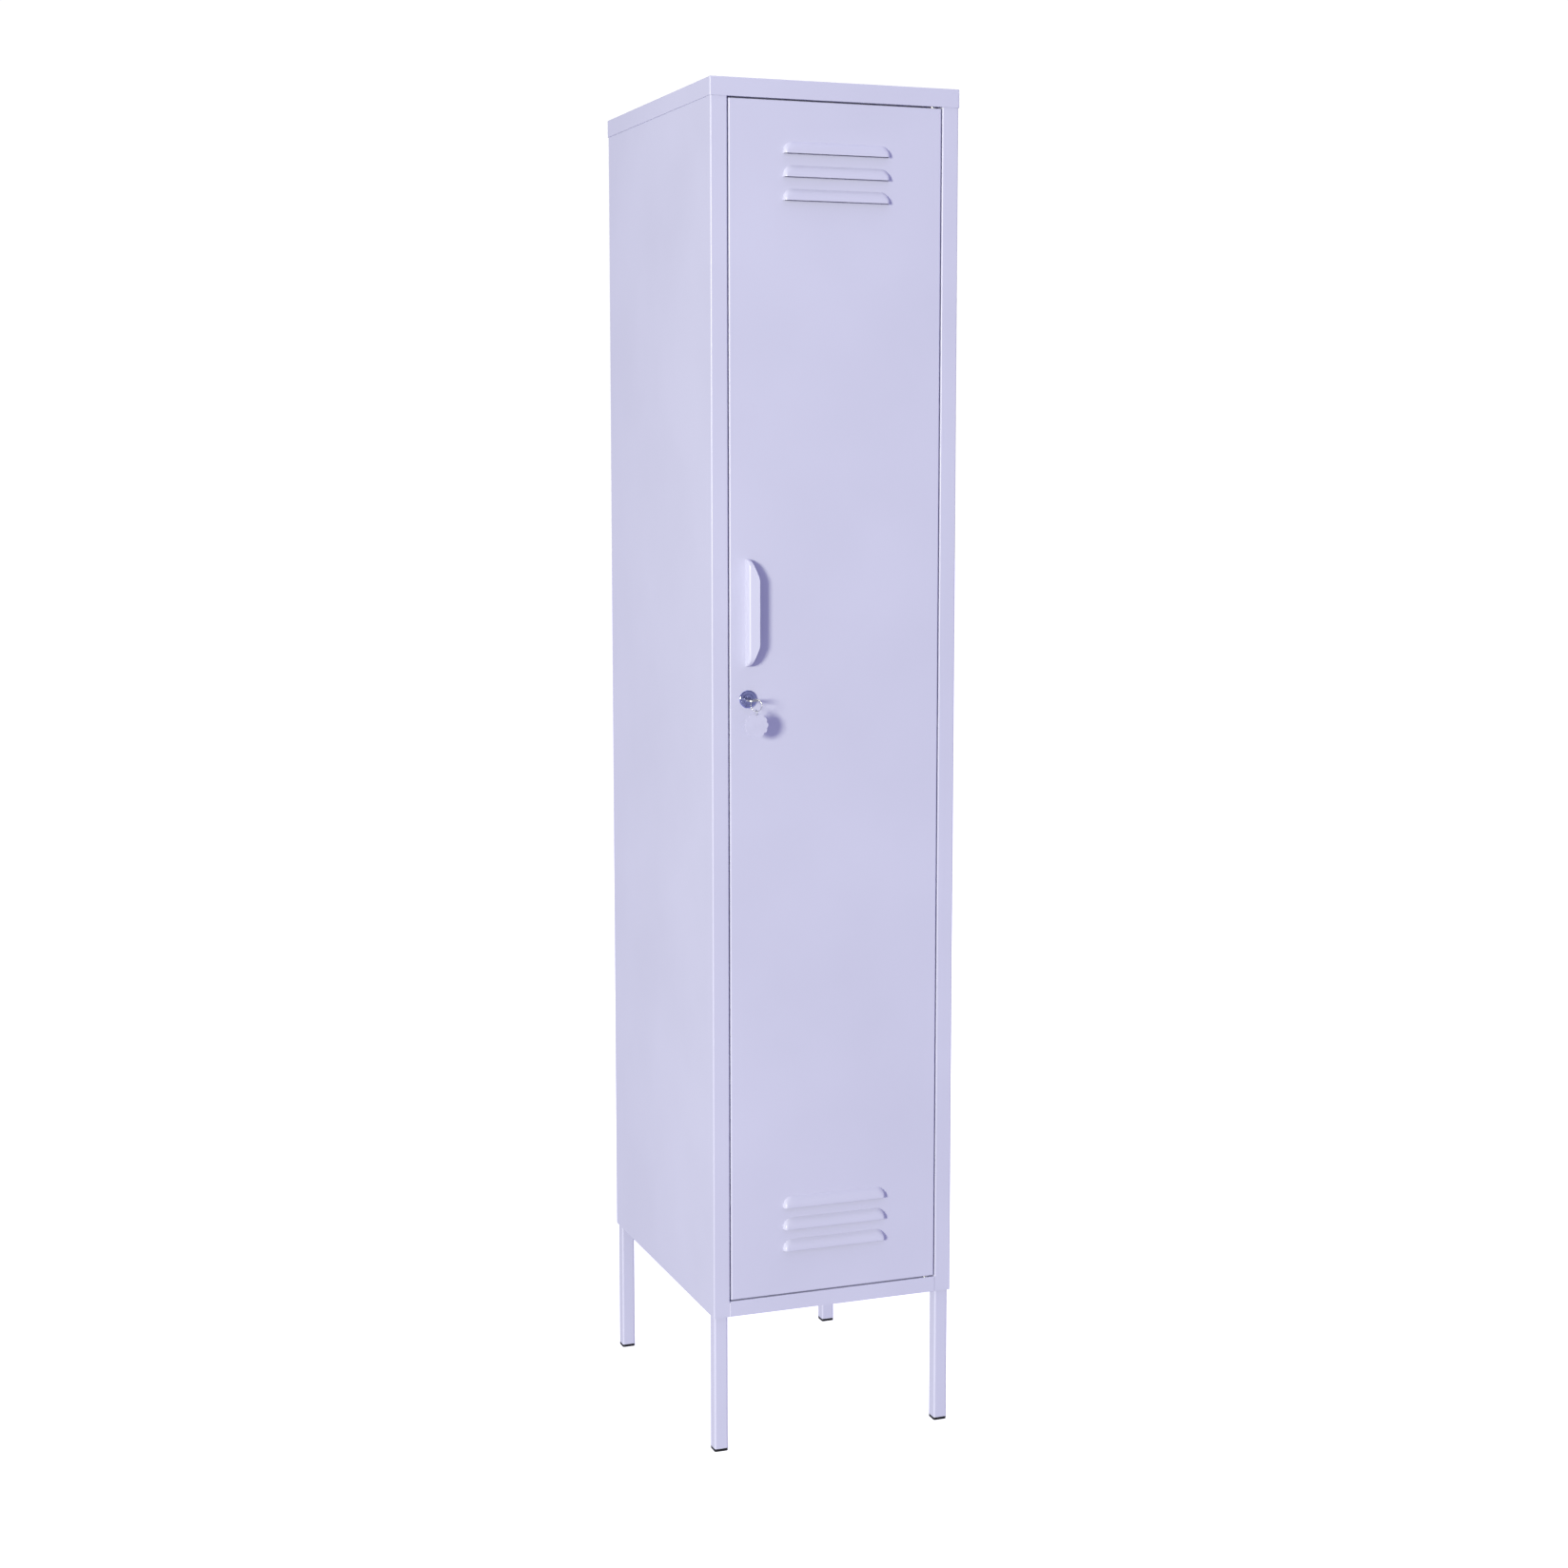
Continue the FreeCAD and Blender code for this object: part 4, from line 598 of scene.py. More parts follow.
for bank in (louvre_bank(lower_bank), louvre_bank(upper_bank)):
    form.from_mesh(bank.data)
    bpy.data.objects.remove(bank)
bmesh.ops.remove_doubles(form, verts=form.verts, dist=WELD)
bmesh.ops.dissolve_degenerate(form, edges=form.edges, dist=WELD)
bmesh.ops.recalc_face_normals(form, faces=form.faces)
flat = max(form.faces, key=lambda face: face.calc_area())
if flat.normal.y > 0:
    bmesh.ops.reverse_faces(form, faces=form.faces)
door_panel = object_from(form, "door_panel")
given_wall(door_panel, SHEET)
worked_in(door_panel)
finished(smoothed(door_panel), "door", "powder_coat", "door_skin")

# %% [markdown]
# The pull is a pressed shell with a flat foot. Its section climbs from the door, turns over a
# tight round and ends in a sloping lip for the fingers. The same section is laid in rows up the
# handle, and near both ends it sinks along a 15 mm round until it meets the door. Then the shell
# and its foot are trimmed to one outline, as a press does it, so that the lip narrows to both
# ends.

# %% The pull
PULL_SHEET = 1.2 * MM
PULL_WALL = 14 * MM
PULL_ROUND = 3 * MM
PULL_END = 15 * MM
PULL_LEAN = 0.5 * MM
PULL_TIP = 4 * MM
PULL_TAPER = 26 * MM
PULL_TAPER_ROUND = 4 * MM
PULL_TIP_ROUND = ((-1.2 * MM, 0), (-0.3 * MM, -0.5 * MM), (0.4 * MM, -1.4 * MM))
PULL_EDGE = 0.25 * MM
FOOT_EDGE = 0.3 * MM
WALL_SHARE = 0.94
ROUND_SHARE = 0.6
BEND_STEPS = 8
END_STEPS = 16
CLEAR = 1 * MM
pull_low, pull_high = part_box("pull_handle")
PULL_PROUD = front - pull_low.y


def pull_section(out, rise):
    """Points (x, y) of the shell's outer face, for a lip whose edge stands out this far."""
    wall_out = min(PULL_WALL, out * WALL_SHARE)
    bend = min(PULL_ROUND, wall_out * ROUND_SHARE)
    start = Vector((pull_low.x, front))
    corner = Vector((pull_low.x + PULL_LEAN * wall_out / PULL_WALL, front - wall_out))
    edge = Vector((pull_high.x, front - out))
    wall = (start - corner).normalized()
    lip = (edge - corner).normalized()
    opened = wall.angle(lip)
    reach = bend / math.tan(opened / 2)
    first = corner + wall * reach
    last = corner + lip * reach
    centre = corner + (wall + lip).normalized() * bend / math.sin(opened / 2)
    section = [start.lerp(first, t) for t in (0, 0.05, 0.5, 0.95)]
    begin = math.atan2(first.y - centre.y, first.x - centre.x) % (2 * math.pi)
    end = math.atan2(last.y - centre.y, last.x - centre.x) % (2 * math.pi)
    for i in range(BEND_STEPS + 1):
        angle = begin + (end - begin) * i / BEND_STEPS
        section.append(centre + Vector((math.cos(angle), math.sin(angle))) * bend)
    section += [last.lerp(edge, t) for t in (0.1, 0.5, 0.9, 1)]
    return [Vector((point.x, point.y, rise)) for point in section]


def pull_outline():
    """A block that has the pull's outline from the front, to trim it with."""
    left, right = pull_low.x - CLEAR, pull_high.x + WELD
    tip = pull_low.x + PULL_TIP
    middle = (pull_low.z + pull_high.z) / 2
    reach = (pull_high.z - pull_low.z) / 2
    curve = [(left, reach + CLEAR), (tip + PULL_TIP_ROUND[0][0], reach + CLEAR)]
    curve += [(tip + x, reach + z) for x, z in PULL_TIP_ROUND]
    bend = Vector((right, reach - PULL_TAPER))
    slope = (Vector((tip, reach)) - bend).normalized()
    for i in range(BEND_STEPS + 1):
        t = i / BEND_STEPS
        down = Vector((0, PULL_TAPER_ROUND * t ** 2))
        curve.append(bend + slope * PULL_TAPER_ROUND * (1 - t) ** 2 - down)
    line = [(x, middle + z) for x, z in curve] + [(x, middle - z) for x, z in reversed(curve)]
    form = bmesh.new()
    face = form.faces.new([form.verts.new((x, front + CLEAR, z)) for x, z in line])
    moved = bmesh.ops.extrude_face_region(form, geom=[face])["geom"]
    bmesh.ops.translate(form, vec=Vector((0, -PULL_PROUD - 2 * CLEAR, 0)),
                        verts=[item for item in moved if isinstance(item, bmesh.types.BMVert)])
    bmesh.ops.recalc_face_normals(form, faces=form.faces)
    return object_from(form, "outline")


def trimmed(piece, outline, edge, degrees):
    """Keeps what lies inside the outline, rounds its edges and works the modifiers in."""
    modified(piece, "BOOLEAN", object=outline, operation="INTERSECT", solver="EXACT")
    bevelled(piece, edge, degrees)
    return worked_in(piece)


rises = []
for i in range(1, END_STEPS + 1):
    angle = math.radians(90) * i / END_STEPS
    rises.append((PULL_END * (1 - math.cos(angle)), PULL_PROUD - PULL_END * (1 - math.sin(angle))))
levels = [(pull_low.z, PULL_PROUD - PULL_END)]
levels += [(pull_low.z + up, out) for up, out in rises]
levels += [(pull_low.z + PULL_END + CLEAR, PULL_PROUD),
           (pull_high.z - PULL_END - CLEAR, PULL_PROUD)]
levels += [(pull_high.z - up, out) for up, out in reversed(rises)]
levels += [(pull_high.z, PULL_PROUD - PULL_END)]
form = bmesh.new()
rings = [[form.verts.new(point) for point in pull_section(out, z)] for z, out in levels]
for low, high in zip(rings, rings[1:]):
    for i in range(len(low) - 1):
        form.faces.new((low[i], low[i + 1], high[i + 1], high[i]))
for ring in (rings[0], rings[-1]):
    foot = [form.verts.new((vert.co.x, front, vert.co.z)) for vert in ring]
    for i in range(len(ring) - 1):
        form.faces.new((ring[i], ring[i + 1], foot[i + 1], foot[i]))
bmesh.ops.remove_doubles(form, verts=form.verts, dist=WELD)
bmesh.ops.dissolve_degenerate(form, edges=form.edges, dist=WELD)
bmesh.ops.recalc_face_normals(form, faces=form.faces)
if max(form.faces, key=lambda face: -face.calc_center_median().y).normal.y > 0:
    bmesh.ops.reverse_faces(form, faces=form.faces)
pull = object_from(form, "pull_shell")
outline = pull_outline()
given_wall(pull, PULL_SHEET)
finished(smoothed(trimmed(pull, outline, PULL_EDGE, 50)), "door", "powder_coat", "pull_handle")

form = bmesh.new()
bmesh.ops.create_cube(form, size=1.0)
foot_size = Vector((pull_high.x - pull_low.x - PULL_SHEET / 2, PULL_SHEET,
                    pull_high.z - pull_low.z - PULL_SHEET))
foot_middle = Vector((pull_high.x - foot_size.x / 2, front - PULL_SHEET / 2,
                      (pull_low.z + pull_high.z) / 2))
foot_place = Matrix.Translation(foot_middle) @ Matrix.Diagonal((*foot_size, 1))
bmesh.ops.transform(form, matrix=foot_place, verts=form.verts)
pull_foot = trimmed(object_from(form, "pull_foot"), outline, FOOT_EDGE, 30)
bpy.data.objects.remove(outline)
finished(smoothed(pull_foot), "door", "powder_coat")

# %% [markdown]
# The lock's housing is turned in one piece: a flange with a rounded rim, a shallow dish that
# frames the plug, the bore and the barrel behind the door. Its profile is a closed ring.

# %% The lock housing
FLANGE = lock_at.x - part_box("lock_housing")[0].x
BORE = 6.25 * MM
BARREL = 8 * MM
BARREL_EDGE = 0.4 * MM
RIM_ROUND = 1.5 * MM
RIM_SEAT = 0.15 * MM
DISH = 0.2 * MM
face_out = lock_at.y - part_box("lock_housing")[0].y
barrel_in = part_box("lock_housing")[1].y - lock_at.y
housing_profile = [(BORE, face_out - 0.5 * MM), (BORE + 0.3 * MM, face_out - DISH),
                   (BORE + 1.0 * MM, face_out - DISH), (BORE + 1.4 * MM, face_out)]
for degrees in (0, 18, 36, 54, 72, 90):
    angle = math.radians(degrees)
    housing_profile.append((FLANGE - RIM_ROUND * (1 - math.sin(angle)),
                            face_out - RIM_ROUND * (1 - math.cos(angle))))
housing_profile += [(FLANGE, RIM_SEAT), (FLANGE - RIM_SEAT, 0), (BARREL, 0),
                    (BARREL, -barrel_in + BARREL_EDGE), (BARREL - BARREL_EDGE, -barrel_in),
                    (BORE, -barrel_in)]
housing = object_from(turned(housing_profile, 96, facing(lock_at, (0, -1, 0))),
                      "lock_flange_and_barrel")
finished(smoothed(housing), "door", "chrome", "lock_housing")

# %% [markdown]
# Small milled and moulded parts have sharp CAD edges, and a sharp edge catches no light. A merged
# copy of each gets a narrow bevel, which is what a deburring tool or a mould leaves.

# %% Softened copies of milled and moulded parts
def softened(node, name, width_mm, body, slot):
    """A copy of a CAD part with its points merged and its edges bevelled."""
    form = bmesh.new()
    form.from_mesh(nodes[node].data)
    for layer in list(form.loops.layers.float_vector.values()):
        form.loops.layers.float_vector.remove(layer)
    bmesh.ops.remove_doubles(form, verts=form.verts, dist=WELD)
    bmesh.ops.dissolve_limit(form, angle_limit=math.radians(1), verts=form.verts, edges=form.edges)
    piece = object_from(form, name)
    for attribute in [a for a in piece.data.attributes if a.name.startswith("custom_normal")]:
        piece.data.attributes.remove(attribute)
    bevelled(piece, width_mm * MM, 35)
    worked_in(piece)
    finished(smoothed(piece), body, slot, node)


softened("key", "flat_key", 0.2, "key", "nickel")
softened("lock_cam", "cam_tongue", 0.2, "lock_plug", "zinc_plate")
softened("magnet_catch_body", "catch_block", 0.4, "cabinet", "black_plastic")
softened("catch_keeper", "keeper_plate", 0.2, "door", "zinc_plate")
for corner in ("front_left", "front_right", "rear_left", "rear_right"):
    softened("foot_" + corner, "leg_cap_" + corner, 0.5, "cabinet", "black_plastic")

# %% [markdown]
# The split ring is a spring of two turns of wire lying side by side, which is what makes the fine
# groove round it. The jump ring is one turn, bent almost shut, with its gap at the back.

# %% Rings of wire
def wire(name, line, radius, body, slot, node):
    """Round wire along a line of points, with closed ends."""
    curve = bpy.data.curves.new(name, "CURVE")
    curve.dimensions = "3D"
    curve.bevel_depth = radius
    curve.bevel_resolution = 4
    curve.use_fill_caps = True
    spline = curve.splines.new("POLY")
    spline.points.add(len(line) - 1)
    for spot, place in zip(spline.points, line):
        spot.co = (*place, 1)
    holder = bpy.data.objects.new(name + "_line", curve)
    bpy.context.scene.collection.objects.link(holder)
    graph = bpy.context.evaluated_depsgraph_get()
    mesh = bpy.data.meshes.new_from_object(holder.evaluated_get(graph))
    bpy.data.objects.remove(holder)
    form = bmesh.new()
    form.from_mesh(mesh)
    bmesh.ops.remove_doubles(form, verts=form.verts, dist=WELD / 10)
    bmesh.ops.recalc_face_normals(form, faces=form.faces)
    finished(smoothed(object_from(form, name)), body, slot, node)


RING_RADIUS = 8 * MM
RING_WIRE = 0.36 * MM
RING_SPREAD = 0.29 * MM
COIL_STEPS = 96
COIL_START = math.radians(30)
JUMP_STEPS = 64
JUMP_GAP = 12
pivot = Vector(joints["tag_swing"]["pos_m"])
ring_along = Vector((1, -1, 0)).normalized()
ring_across = Vector((1, 1, 0)).normalized()
ring_middle = pivot + Vector((0, 0, RING_RADIUS))
coil = []
for i in range(2 * COIL_STEPS + 1):
    angle = COIL_START + 2 * math.pi * i / COIL_STEPS
    around = ring_along * math.cos(angle) + Vector((0, 0, math.sin(angle)))
    aside = ring_across * RING_SPREAD * (i / COIL_STEPS - 1)
    coil.append(ring_middle + around * RING_RADIUS + aside)
wire("coiled_split_ring", coil, RING_WIRE, "key_ring", "nickel", "split_ring")

jump_low, jump_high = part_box("jump_ring")
jump_middle = (jump_low + jump_high) / 2
JUMP_WIRE = (jump_high.x - jump_low.x) / 2
jump_radius = (jump_high.z - jump_low.z) / 2 - JUMP_WIRE
loop = []
for i in range(JUMP_STEPS + 1):
    angle = math.radians(JUMP_GAP / 2 + (360 - JUMP_GAP) * i / JUMP_STEPS)
    loop.append(jump_middle + Vector((0, math.cos(angle), math.sin(angle))) * jump_radius)
wire("open_jump_ring", loop, JUMP_WIRE, "tag", "nickel", "jump_ring")

# %% [markdown]
# The tag is a disc with twelve scallops. Its outline follows a rule: the radius rises and falls
# twelve times in one turn. The tree bends a circle by that rule, adds the hole's circle and fills
# what lies between them, and Solidify and a bevel finish the stamped blank.

# %% The scalloped tag
def tag_tree():
    """A flat scalloped blank with one hole, in the X-Y plane."""
    tree, given = new_tree("scalloped_tag", {
        "Radius": "Float", "Depth": "Float", "Scallops": "Float", "Hole Radius": "Float",
        "Hole Height": "Float"})
    rim = add(tree, "GeometryNodeCurvePrimitiveCircle", {"Resolution": 192, "Radius": 1.0},
              mode="RADIUS")
    spot = add(tree, "GeometryNodeInputPosition")
    parts = add(tree, "ShaderNodeSeparateXYZ", {0: spot})
    angle = add(tree, MATH, {0: parts.outputs["X"], 1: parts.outputs["Y"]}, operation="ARCTAN2")
    beat = add(tree, MATH, {0: angle, 1: given["Scallops"]}, operation="MULTIPLY")
    beat = add(tree, MATH, {0: beat, 1: 0.5}, operation="MULTIPLY")
    beat = add(tree, MATH, {0: beat}, operation="COSINE")
    beat = add(tree, MATH, {0: beat}, operation="ABSOLUTE")
    beat = add(tree, MATH, {0: 1.0, 1: beat}, operation="SUBTRACT")
    dip = add(tree, MATH, {0: beat, 1: given["Depth"]}, operation="MULTIPLY")
    radius = add(tree, MATH, {0: given["Radius"], 1: dip}, operation="SUBTRACT")
    moved = add(tree, "ShaderNodeVectorMath", {0: spot, "Scale": radius}, operation="SCALE")
    lobed = add(tree, "GeometryNodeSetPosition", {"Geometry": rim.outputs["Curve"],
                                                  "Position": moved.outputs["Vector"]})
    hole = add(tree, "GeometryNodeCurvePrimitiveCircle", {
        "Resolution": 40, "Radius": given["Hole Radius"]}, mode="RADIUS")
    raised = add(tree, "ShaderNodeCombineXYZ", {"Y": given["Hole Height"]})
    hole = add(tree, "GeometryNodeTransform", {"Geometry": hole.outputs["Curve"],
                                               "Translation": raised})
    both = add(tree, "GeometryNodeJoinGeometry", {"Geometry": lobed.outputs["Geometry"]})
    tree.links.new(hole.outputs["Geometry"], both.inputs["Geometry"])
    blank = add(tree, "GeometryNodeFillCurve", {"Curve": both.outputs["Geometry"]})
    end_tree(tree, given, blank.outputs["Mesh"])
    return tree


tag_low, tag_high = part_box("key_tag")
TAG_HOLE = 2.0 * MM
TAG_HOLE_RIM = 1.6 * MM
TAG_EDGE = 0.35 * MM
SCALLOPS = 12.0
SCALLOP_DEPTH = 1.6 * MM
tag_radius = (tag_high.z - tag_low.z) / 2
tag = grown(object_from(bmesh.new(), "scalloped_tag"), tag_tree(), tag_enamel, Radius=tag_radius,
            Depth=SCALLOP_DEPTH, Scallops=SCALLOPS, Hole_Radius=TAG_HOLE,
            Hole_Height=tag_radius - TAG_HOLE_RIM - TAG_HOLE)
tag_middle = (tag_low + tag_high) / 2
tag.data.transform(Matrix.Translation(tag_middle) @ Matrix.Rotation(math.radians(90), 4, "X"))
modified(tag, "SOLIDIFY", thickness=tag_high.y - tag_low.y, offset=0.0)
bevelled(tag, TAG_EDGE, 50, segments=3)
worked_in(tag)
finished(smoothed(tag), "tag", "tag_enamel", "key_tag")

# %% [markdown]
# Bolts, nuts, screws and rivets are one part each, turned on the lathe, and Geometry Nodes stands
# copies of it on points. Each point carries the direction that its copy faces, and a fixed seed
# turns every copy a different way about its own axis, as a fitter leaves them.

# %% The fastener tree
def fastener_tree():
    """A part on every point, facing along the point's own direction, turned at random about it."""
    tree, given = new_tree("fasteners", {"Part": "Object", "Seed": "Int"})
    part = add(tree, "GeometryNodeObjectInfo", {"Object": given["Part"]})
    facing_way = add(tree, "GeometryNodeInputNamedAttribute", {"Name": "facing"},
                     data_type="FLOAT_VECTOR")
    lined_up = add(tree, "FunctionNodeAlignRotationToVector",
                   {"Vector": facing_way.outputs["Attribute"]}, axis="Z")
    spin = add(tree, "FunctionNodeRandomValue", {2: 0.0, 3: 2 * math.pi, "Seed": given["Seed"]},
               data_type="FLOAT")
    about = add(tree, "ShaderNodeCombineXYZ", {"Z": spin.outputs[1]})
    turned_by = add(tree, "FunctionNodeRotateRotation", {"Rotation": lined_up.outputs["Rotation"],
                                                         "Rotate By": about},
                    rotation_space="LOCAL")
    copies = add(tree, "GeometryNodeInstanceOnPoints", {"Points": given["Geometry"],
                                                        "Instance": part.outputs["Geometry"],
                                                        "Rotation": turned_by.outputs["Rotation"]})
    end_tree(tree, given, copies.outputs["Instances"])
    return tree


fasteners = fastener_tree()
FASTENER_SEED = 4


def stood(name, part, places, direction, body, node):
    """Zinc-plated copies of a part on these places, as one piece that stands for a CAD part."""
    form = bmesh.new()
    for place in places:
        form.verts.new(place)
    piece = object_from(form, name)
    way = piece.data.attributes.new("facing", "FLOAT_VECTOR", "POINT")
    for item in way.data:
        item.vector = direction
    grown(piece, fasteners, zinc_plate, Part=part, Seed=FASTENER_SEED)
    finished(smoothed(piece), body, "zinc_plate", node)


def islands(node):
    """(lowest corner, highest corner) of each separate body of a CAD part."""
    form = bmesh.new()
    form.from_mesh(nodes[node].data)
    bmesh.ops.remove_doubles(form, verts=form.verts, dist=WELD)
    left = set(form.verts)
    found = []
    while left:
        group, queue = [], [left.pop()]
        while queue:
            vert = queue.pop()
            group.append(vert.co.copy())
            for edge in vert.link_edges:
                other = edge.other_vert(vert)
                if other in left:
                    left.remove(other)
                    queue.append(other)
        found.append((Vector([min(p[k] for p in group) for k in range(3)]),
                      Vector([max(p[k] for p in group) for k in range(3)])))
    form.free()
    return found


def stations(found, axis, lift=0.0):
    """The middle of each separate body, but this far above its lowest point along one axis."""
    places = []
    for low, high in found:
        place = [(a + b) / 2 for a, b in zip(low, high)]
        place[axis] = low[axis] + lift
        places.append(Vector(place))
    return places


# %% [markdown]
# A pan head is a low dome with a cross cut in it. The cross is cut with a Boolean, once, on the
# one part that all the copies come from. A hexagon is a six-step turning with its corners
# chamfered. A screw or a bolt is drawn with a few ridges, coarser than a real thread, so that
# they show.

# %% The fastener parts
def hidden(part):
    """Hides a part that is only copied, never shown."""
    part.hide_render = True
    part.hide_viewport = True
    return part


HEAD_HEIGHT = 2.2 * MM
SCREW_PITCH = 0.7 * MM
CROSS_LONG = 3.4 * MM
CROSS_WIDE = 0.8 * MM
CROSS_DEEP = 2 * MM


def pan_head(length):
    """A screw with its head above Z = 0 and its shank below."""
    head, tall, shank, ridge = 3.6 * MM, HEAD_HEIGHT, 2.0 * MM, 0.35 * MM
    profile = [(0, tall), (head * 0.35, tall * 0.97), (head * 0.65, tall * 0.82),
               (head * 0.87, tall * 0.55), (head, tall * 0.2), (head, 0), (shank, 0)]
    for i in range(int((length - MM) / SCREW_PITCH)):
        profile += [(shank, -0.5 * MM - i * SCREW_PITCH),
                    (shank - ridge, -0.85 * MM - i * SCREW_PITCH)]
    profile += [(shank - ridge, -length), (0, -length)]
    screw = object_from(turned(profile, 28), "screw_blank")
    form = bmesh.new()
    for across_x, across_y in ((CROSS_LONG, CROSS_WIDE), (CROSS_WIDE, CROSS_LONG)):
        bar = Matrix.Diagonal((across_x, across_y, CROSS_DEEP, 1))
        bmesh.ops.create_cube(form, size=1.0, matrix=Matrix.Translation((0, 0, tall)) @ bar)
    cutter = object_from(form, "cross")
    modified(screw, "BOOLEAN", object=cutter, operation="DIFFERENCE", solver="EXACT",
             use_self=True)
    worked_in(screw)
    bpy.data.objects.remove(cutter)
    return hidden(screw)


def hexagon(flats, low, high, bore=0.0):
    """A chamfered hexagon from low to high, with a bore if it is a nut."""
    corner = flats / math.sqrt(3)
    bevel = 0.09 * flats
    drop = bevel * 0.6
    return turned([(bore, low), (corner - bevel, low), (corner, low + drop),
                   (corner, high - drop), (corner - bevel, high), (bore, high)], 6)


BOLT_FLATS = 10 * MM
BOLT_HEAD = 4 * MM
BOLT_RADIUS = 3 * MM
BOLT_ROOT = 2.6 * MM
BOLT_TIP = 2.4 * MM


def bolt_part(length):
    """A hexagon bolt: its head below Z = 0, its shank above."""
    form = hexagon(BOLT_FLATS, -BOLT_HEAD, 0)
    profile = [(0, 0), (BOLT_RADIUS, 0)]
    for i in range(int(length / MM) - 1):
        profile += [(BOLT_RADIUS, (i + 0.4) * MM), (BOLT_ROOT, (i + 0.9) * MM)]
    profile += [(BOLT_TIP, length), (0, length)]
    shank = turned(profile, 24)
    mesh = bpy.data.meshes.new("shank")
    shank.to_mesh(mesh)
    shank.free()
    form.from_mesh(mesh)
    return form


# %% [markdown]
# Each blank now goes where the CAD part has one. The CAD part's own separate bodies say where,
# and a direction says which way the head, or a nut's far face, points.

# %% The fasteners in their places
Y, Z = 1, 2
UP, DOWN = (0, 0, 1), (0, 0, -1)
INWARD, OUTWARD = (0, 1, 0), (0, -1, 0)
bolts = islands("leg_bolts")
bolt_under = bolts[0][0].z + BOLT_HEAD
bolt_blank = hidden(object_from(bolt_part(bolts[0][1].z - bolt_under), "bolt_blank"))
stood("leg_bolt_set", bolt_blank, stations(bolts, Z, BOLT_HEAD), UP, "cabinet", "leg_bolts")
weld_nut = hidden(object_from(hexagon(BOLT_FLATS, 0, 5 * MM, 3.05 * MM), "weld_nut_blank"))
stood("weld_nut_set", weld_nut, stations(islands("leg_weld_nuts"), Z), UP, "cabinet",
      "leg_weld_nuts")

screws = islands("rail_screws")
stood("rail_screw_set", pan_head(screws[0][1].z - screws[0][0].z - HEAD_HEIGHT),
      stations(screws, Z, HEAD_HEIGHT), DOWN, "cabinet", "rail_screws")
small_nut = hidden(object_from(hexagon(7 * MM, 0, 3.2 * MM, 2.05 * MM), "nut_blank"))
stood("rail_nut_set", small_nut, stations(islands("rail_nuts"), Z), UP, "cabinet", "rail_nuts")
for node, name, body in (("handle_screws", "pull_screw_set", "door"),
                         ("catch_screws", "catch_screw_set", "cabinet")):
    screws = islands(node)
    stood(name, pan_head(screws[0][1].y - screws[0][0].y - HEAD_HEIGHT),
          stations(screws, Y, HEAD_HEIGHT), OUTWARD, body, node)
stood("pull_nut_set", small_nut, stations(islands("handle_nuts"), Y), INWARD, "door",
      "handle_nuts")

RIVET_DOME = 1.2 * MM
rivets = islands("hook_rivets")
rivet_length = rivets[0][1].y - rivets[0][0].y
rivet_profile = [(0, 1.0 * MM), (0.9 * MM, 1.0 * MM), (1.0 * MM, 1.2 * MM), (2.4 * MM, 1.1 * MM),
                 (3.4 * MM, 0.7 * MM), (3.8 * MM, 0.2 * MM), (3.8 * MM, 0), (2 * MM, 0),
                 (2 * MM, 1.6 * MM - rivet_length), (3.6 * MM, 1.6 * MM - rivet_length),
                 (3.0 * MM, 1.2 * MM - rivet_length), (0, 1.2 * MM - rivet_length)]
rivet_blank = hidden(object_from(turned(rivet_profile, 32), "rivet_blank"))
stood("blind_rivet_set", rivet_blank, stations(rivets, Y, RIVET_DOME), OUTWARD, "cabinet",
      "hook_rivets")
for part in [item for item in bpy.data.objects if item.name.split(".")[0].endswith("_blank")]:
    bpy.data.objects.remove(part)

# %% [markdown]
# The shelves hang on slotted uprights. An upright is the same short length of channel again and
# again, one slot in each, so one length is drawn point by point and Geometry Nodes stacks it at
# the 50 mm pitch and welds the joints.

# %% Slotted uprights
def stack_tree():
    """The piece's own mesh, stacked upwards a number of times and welded."""
    tree, given = new_tree("stacked_lengths", {"Pitch": "Float", "Count": "Int"})
    step = add(tree, "ShaderNodeCombineXYZ", {"Z": given["Pitch"]})
    line = add(tree, "GeometryNodeMeshLine", {"Count": given["Count"], "Offset": step})
    stack = add(tree, "GeometryNodeInstanceOnPoints", {"Points": line.outputs["Mesh"],
                                                       "Instance": given["Geometry"]})
    real = add(tree, "GeometryNodeRealizeInstances", {"Geometry": stack.outputs["Instances"]})
    welded = add(tree, "GeometryNodeMergeByDistance", {"Geometry": real,
                                                       "Distance": WELD})
    end_tree(tree, given, welded)
    return tree


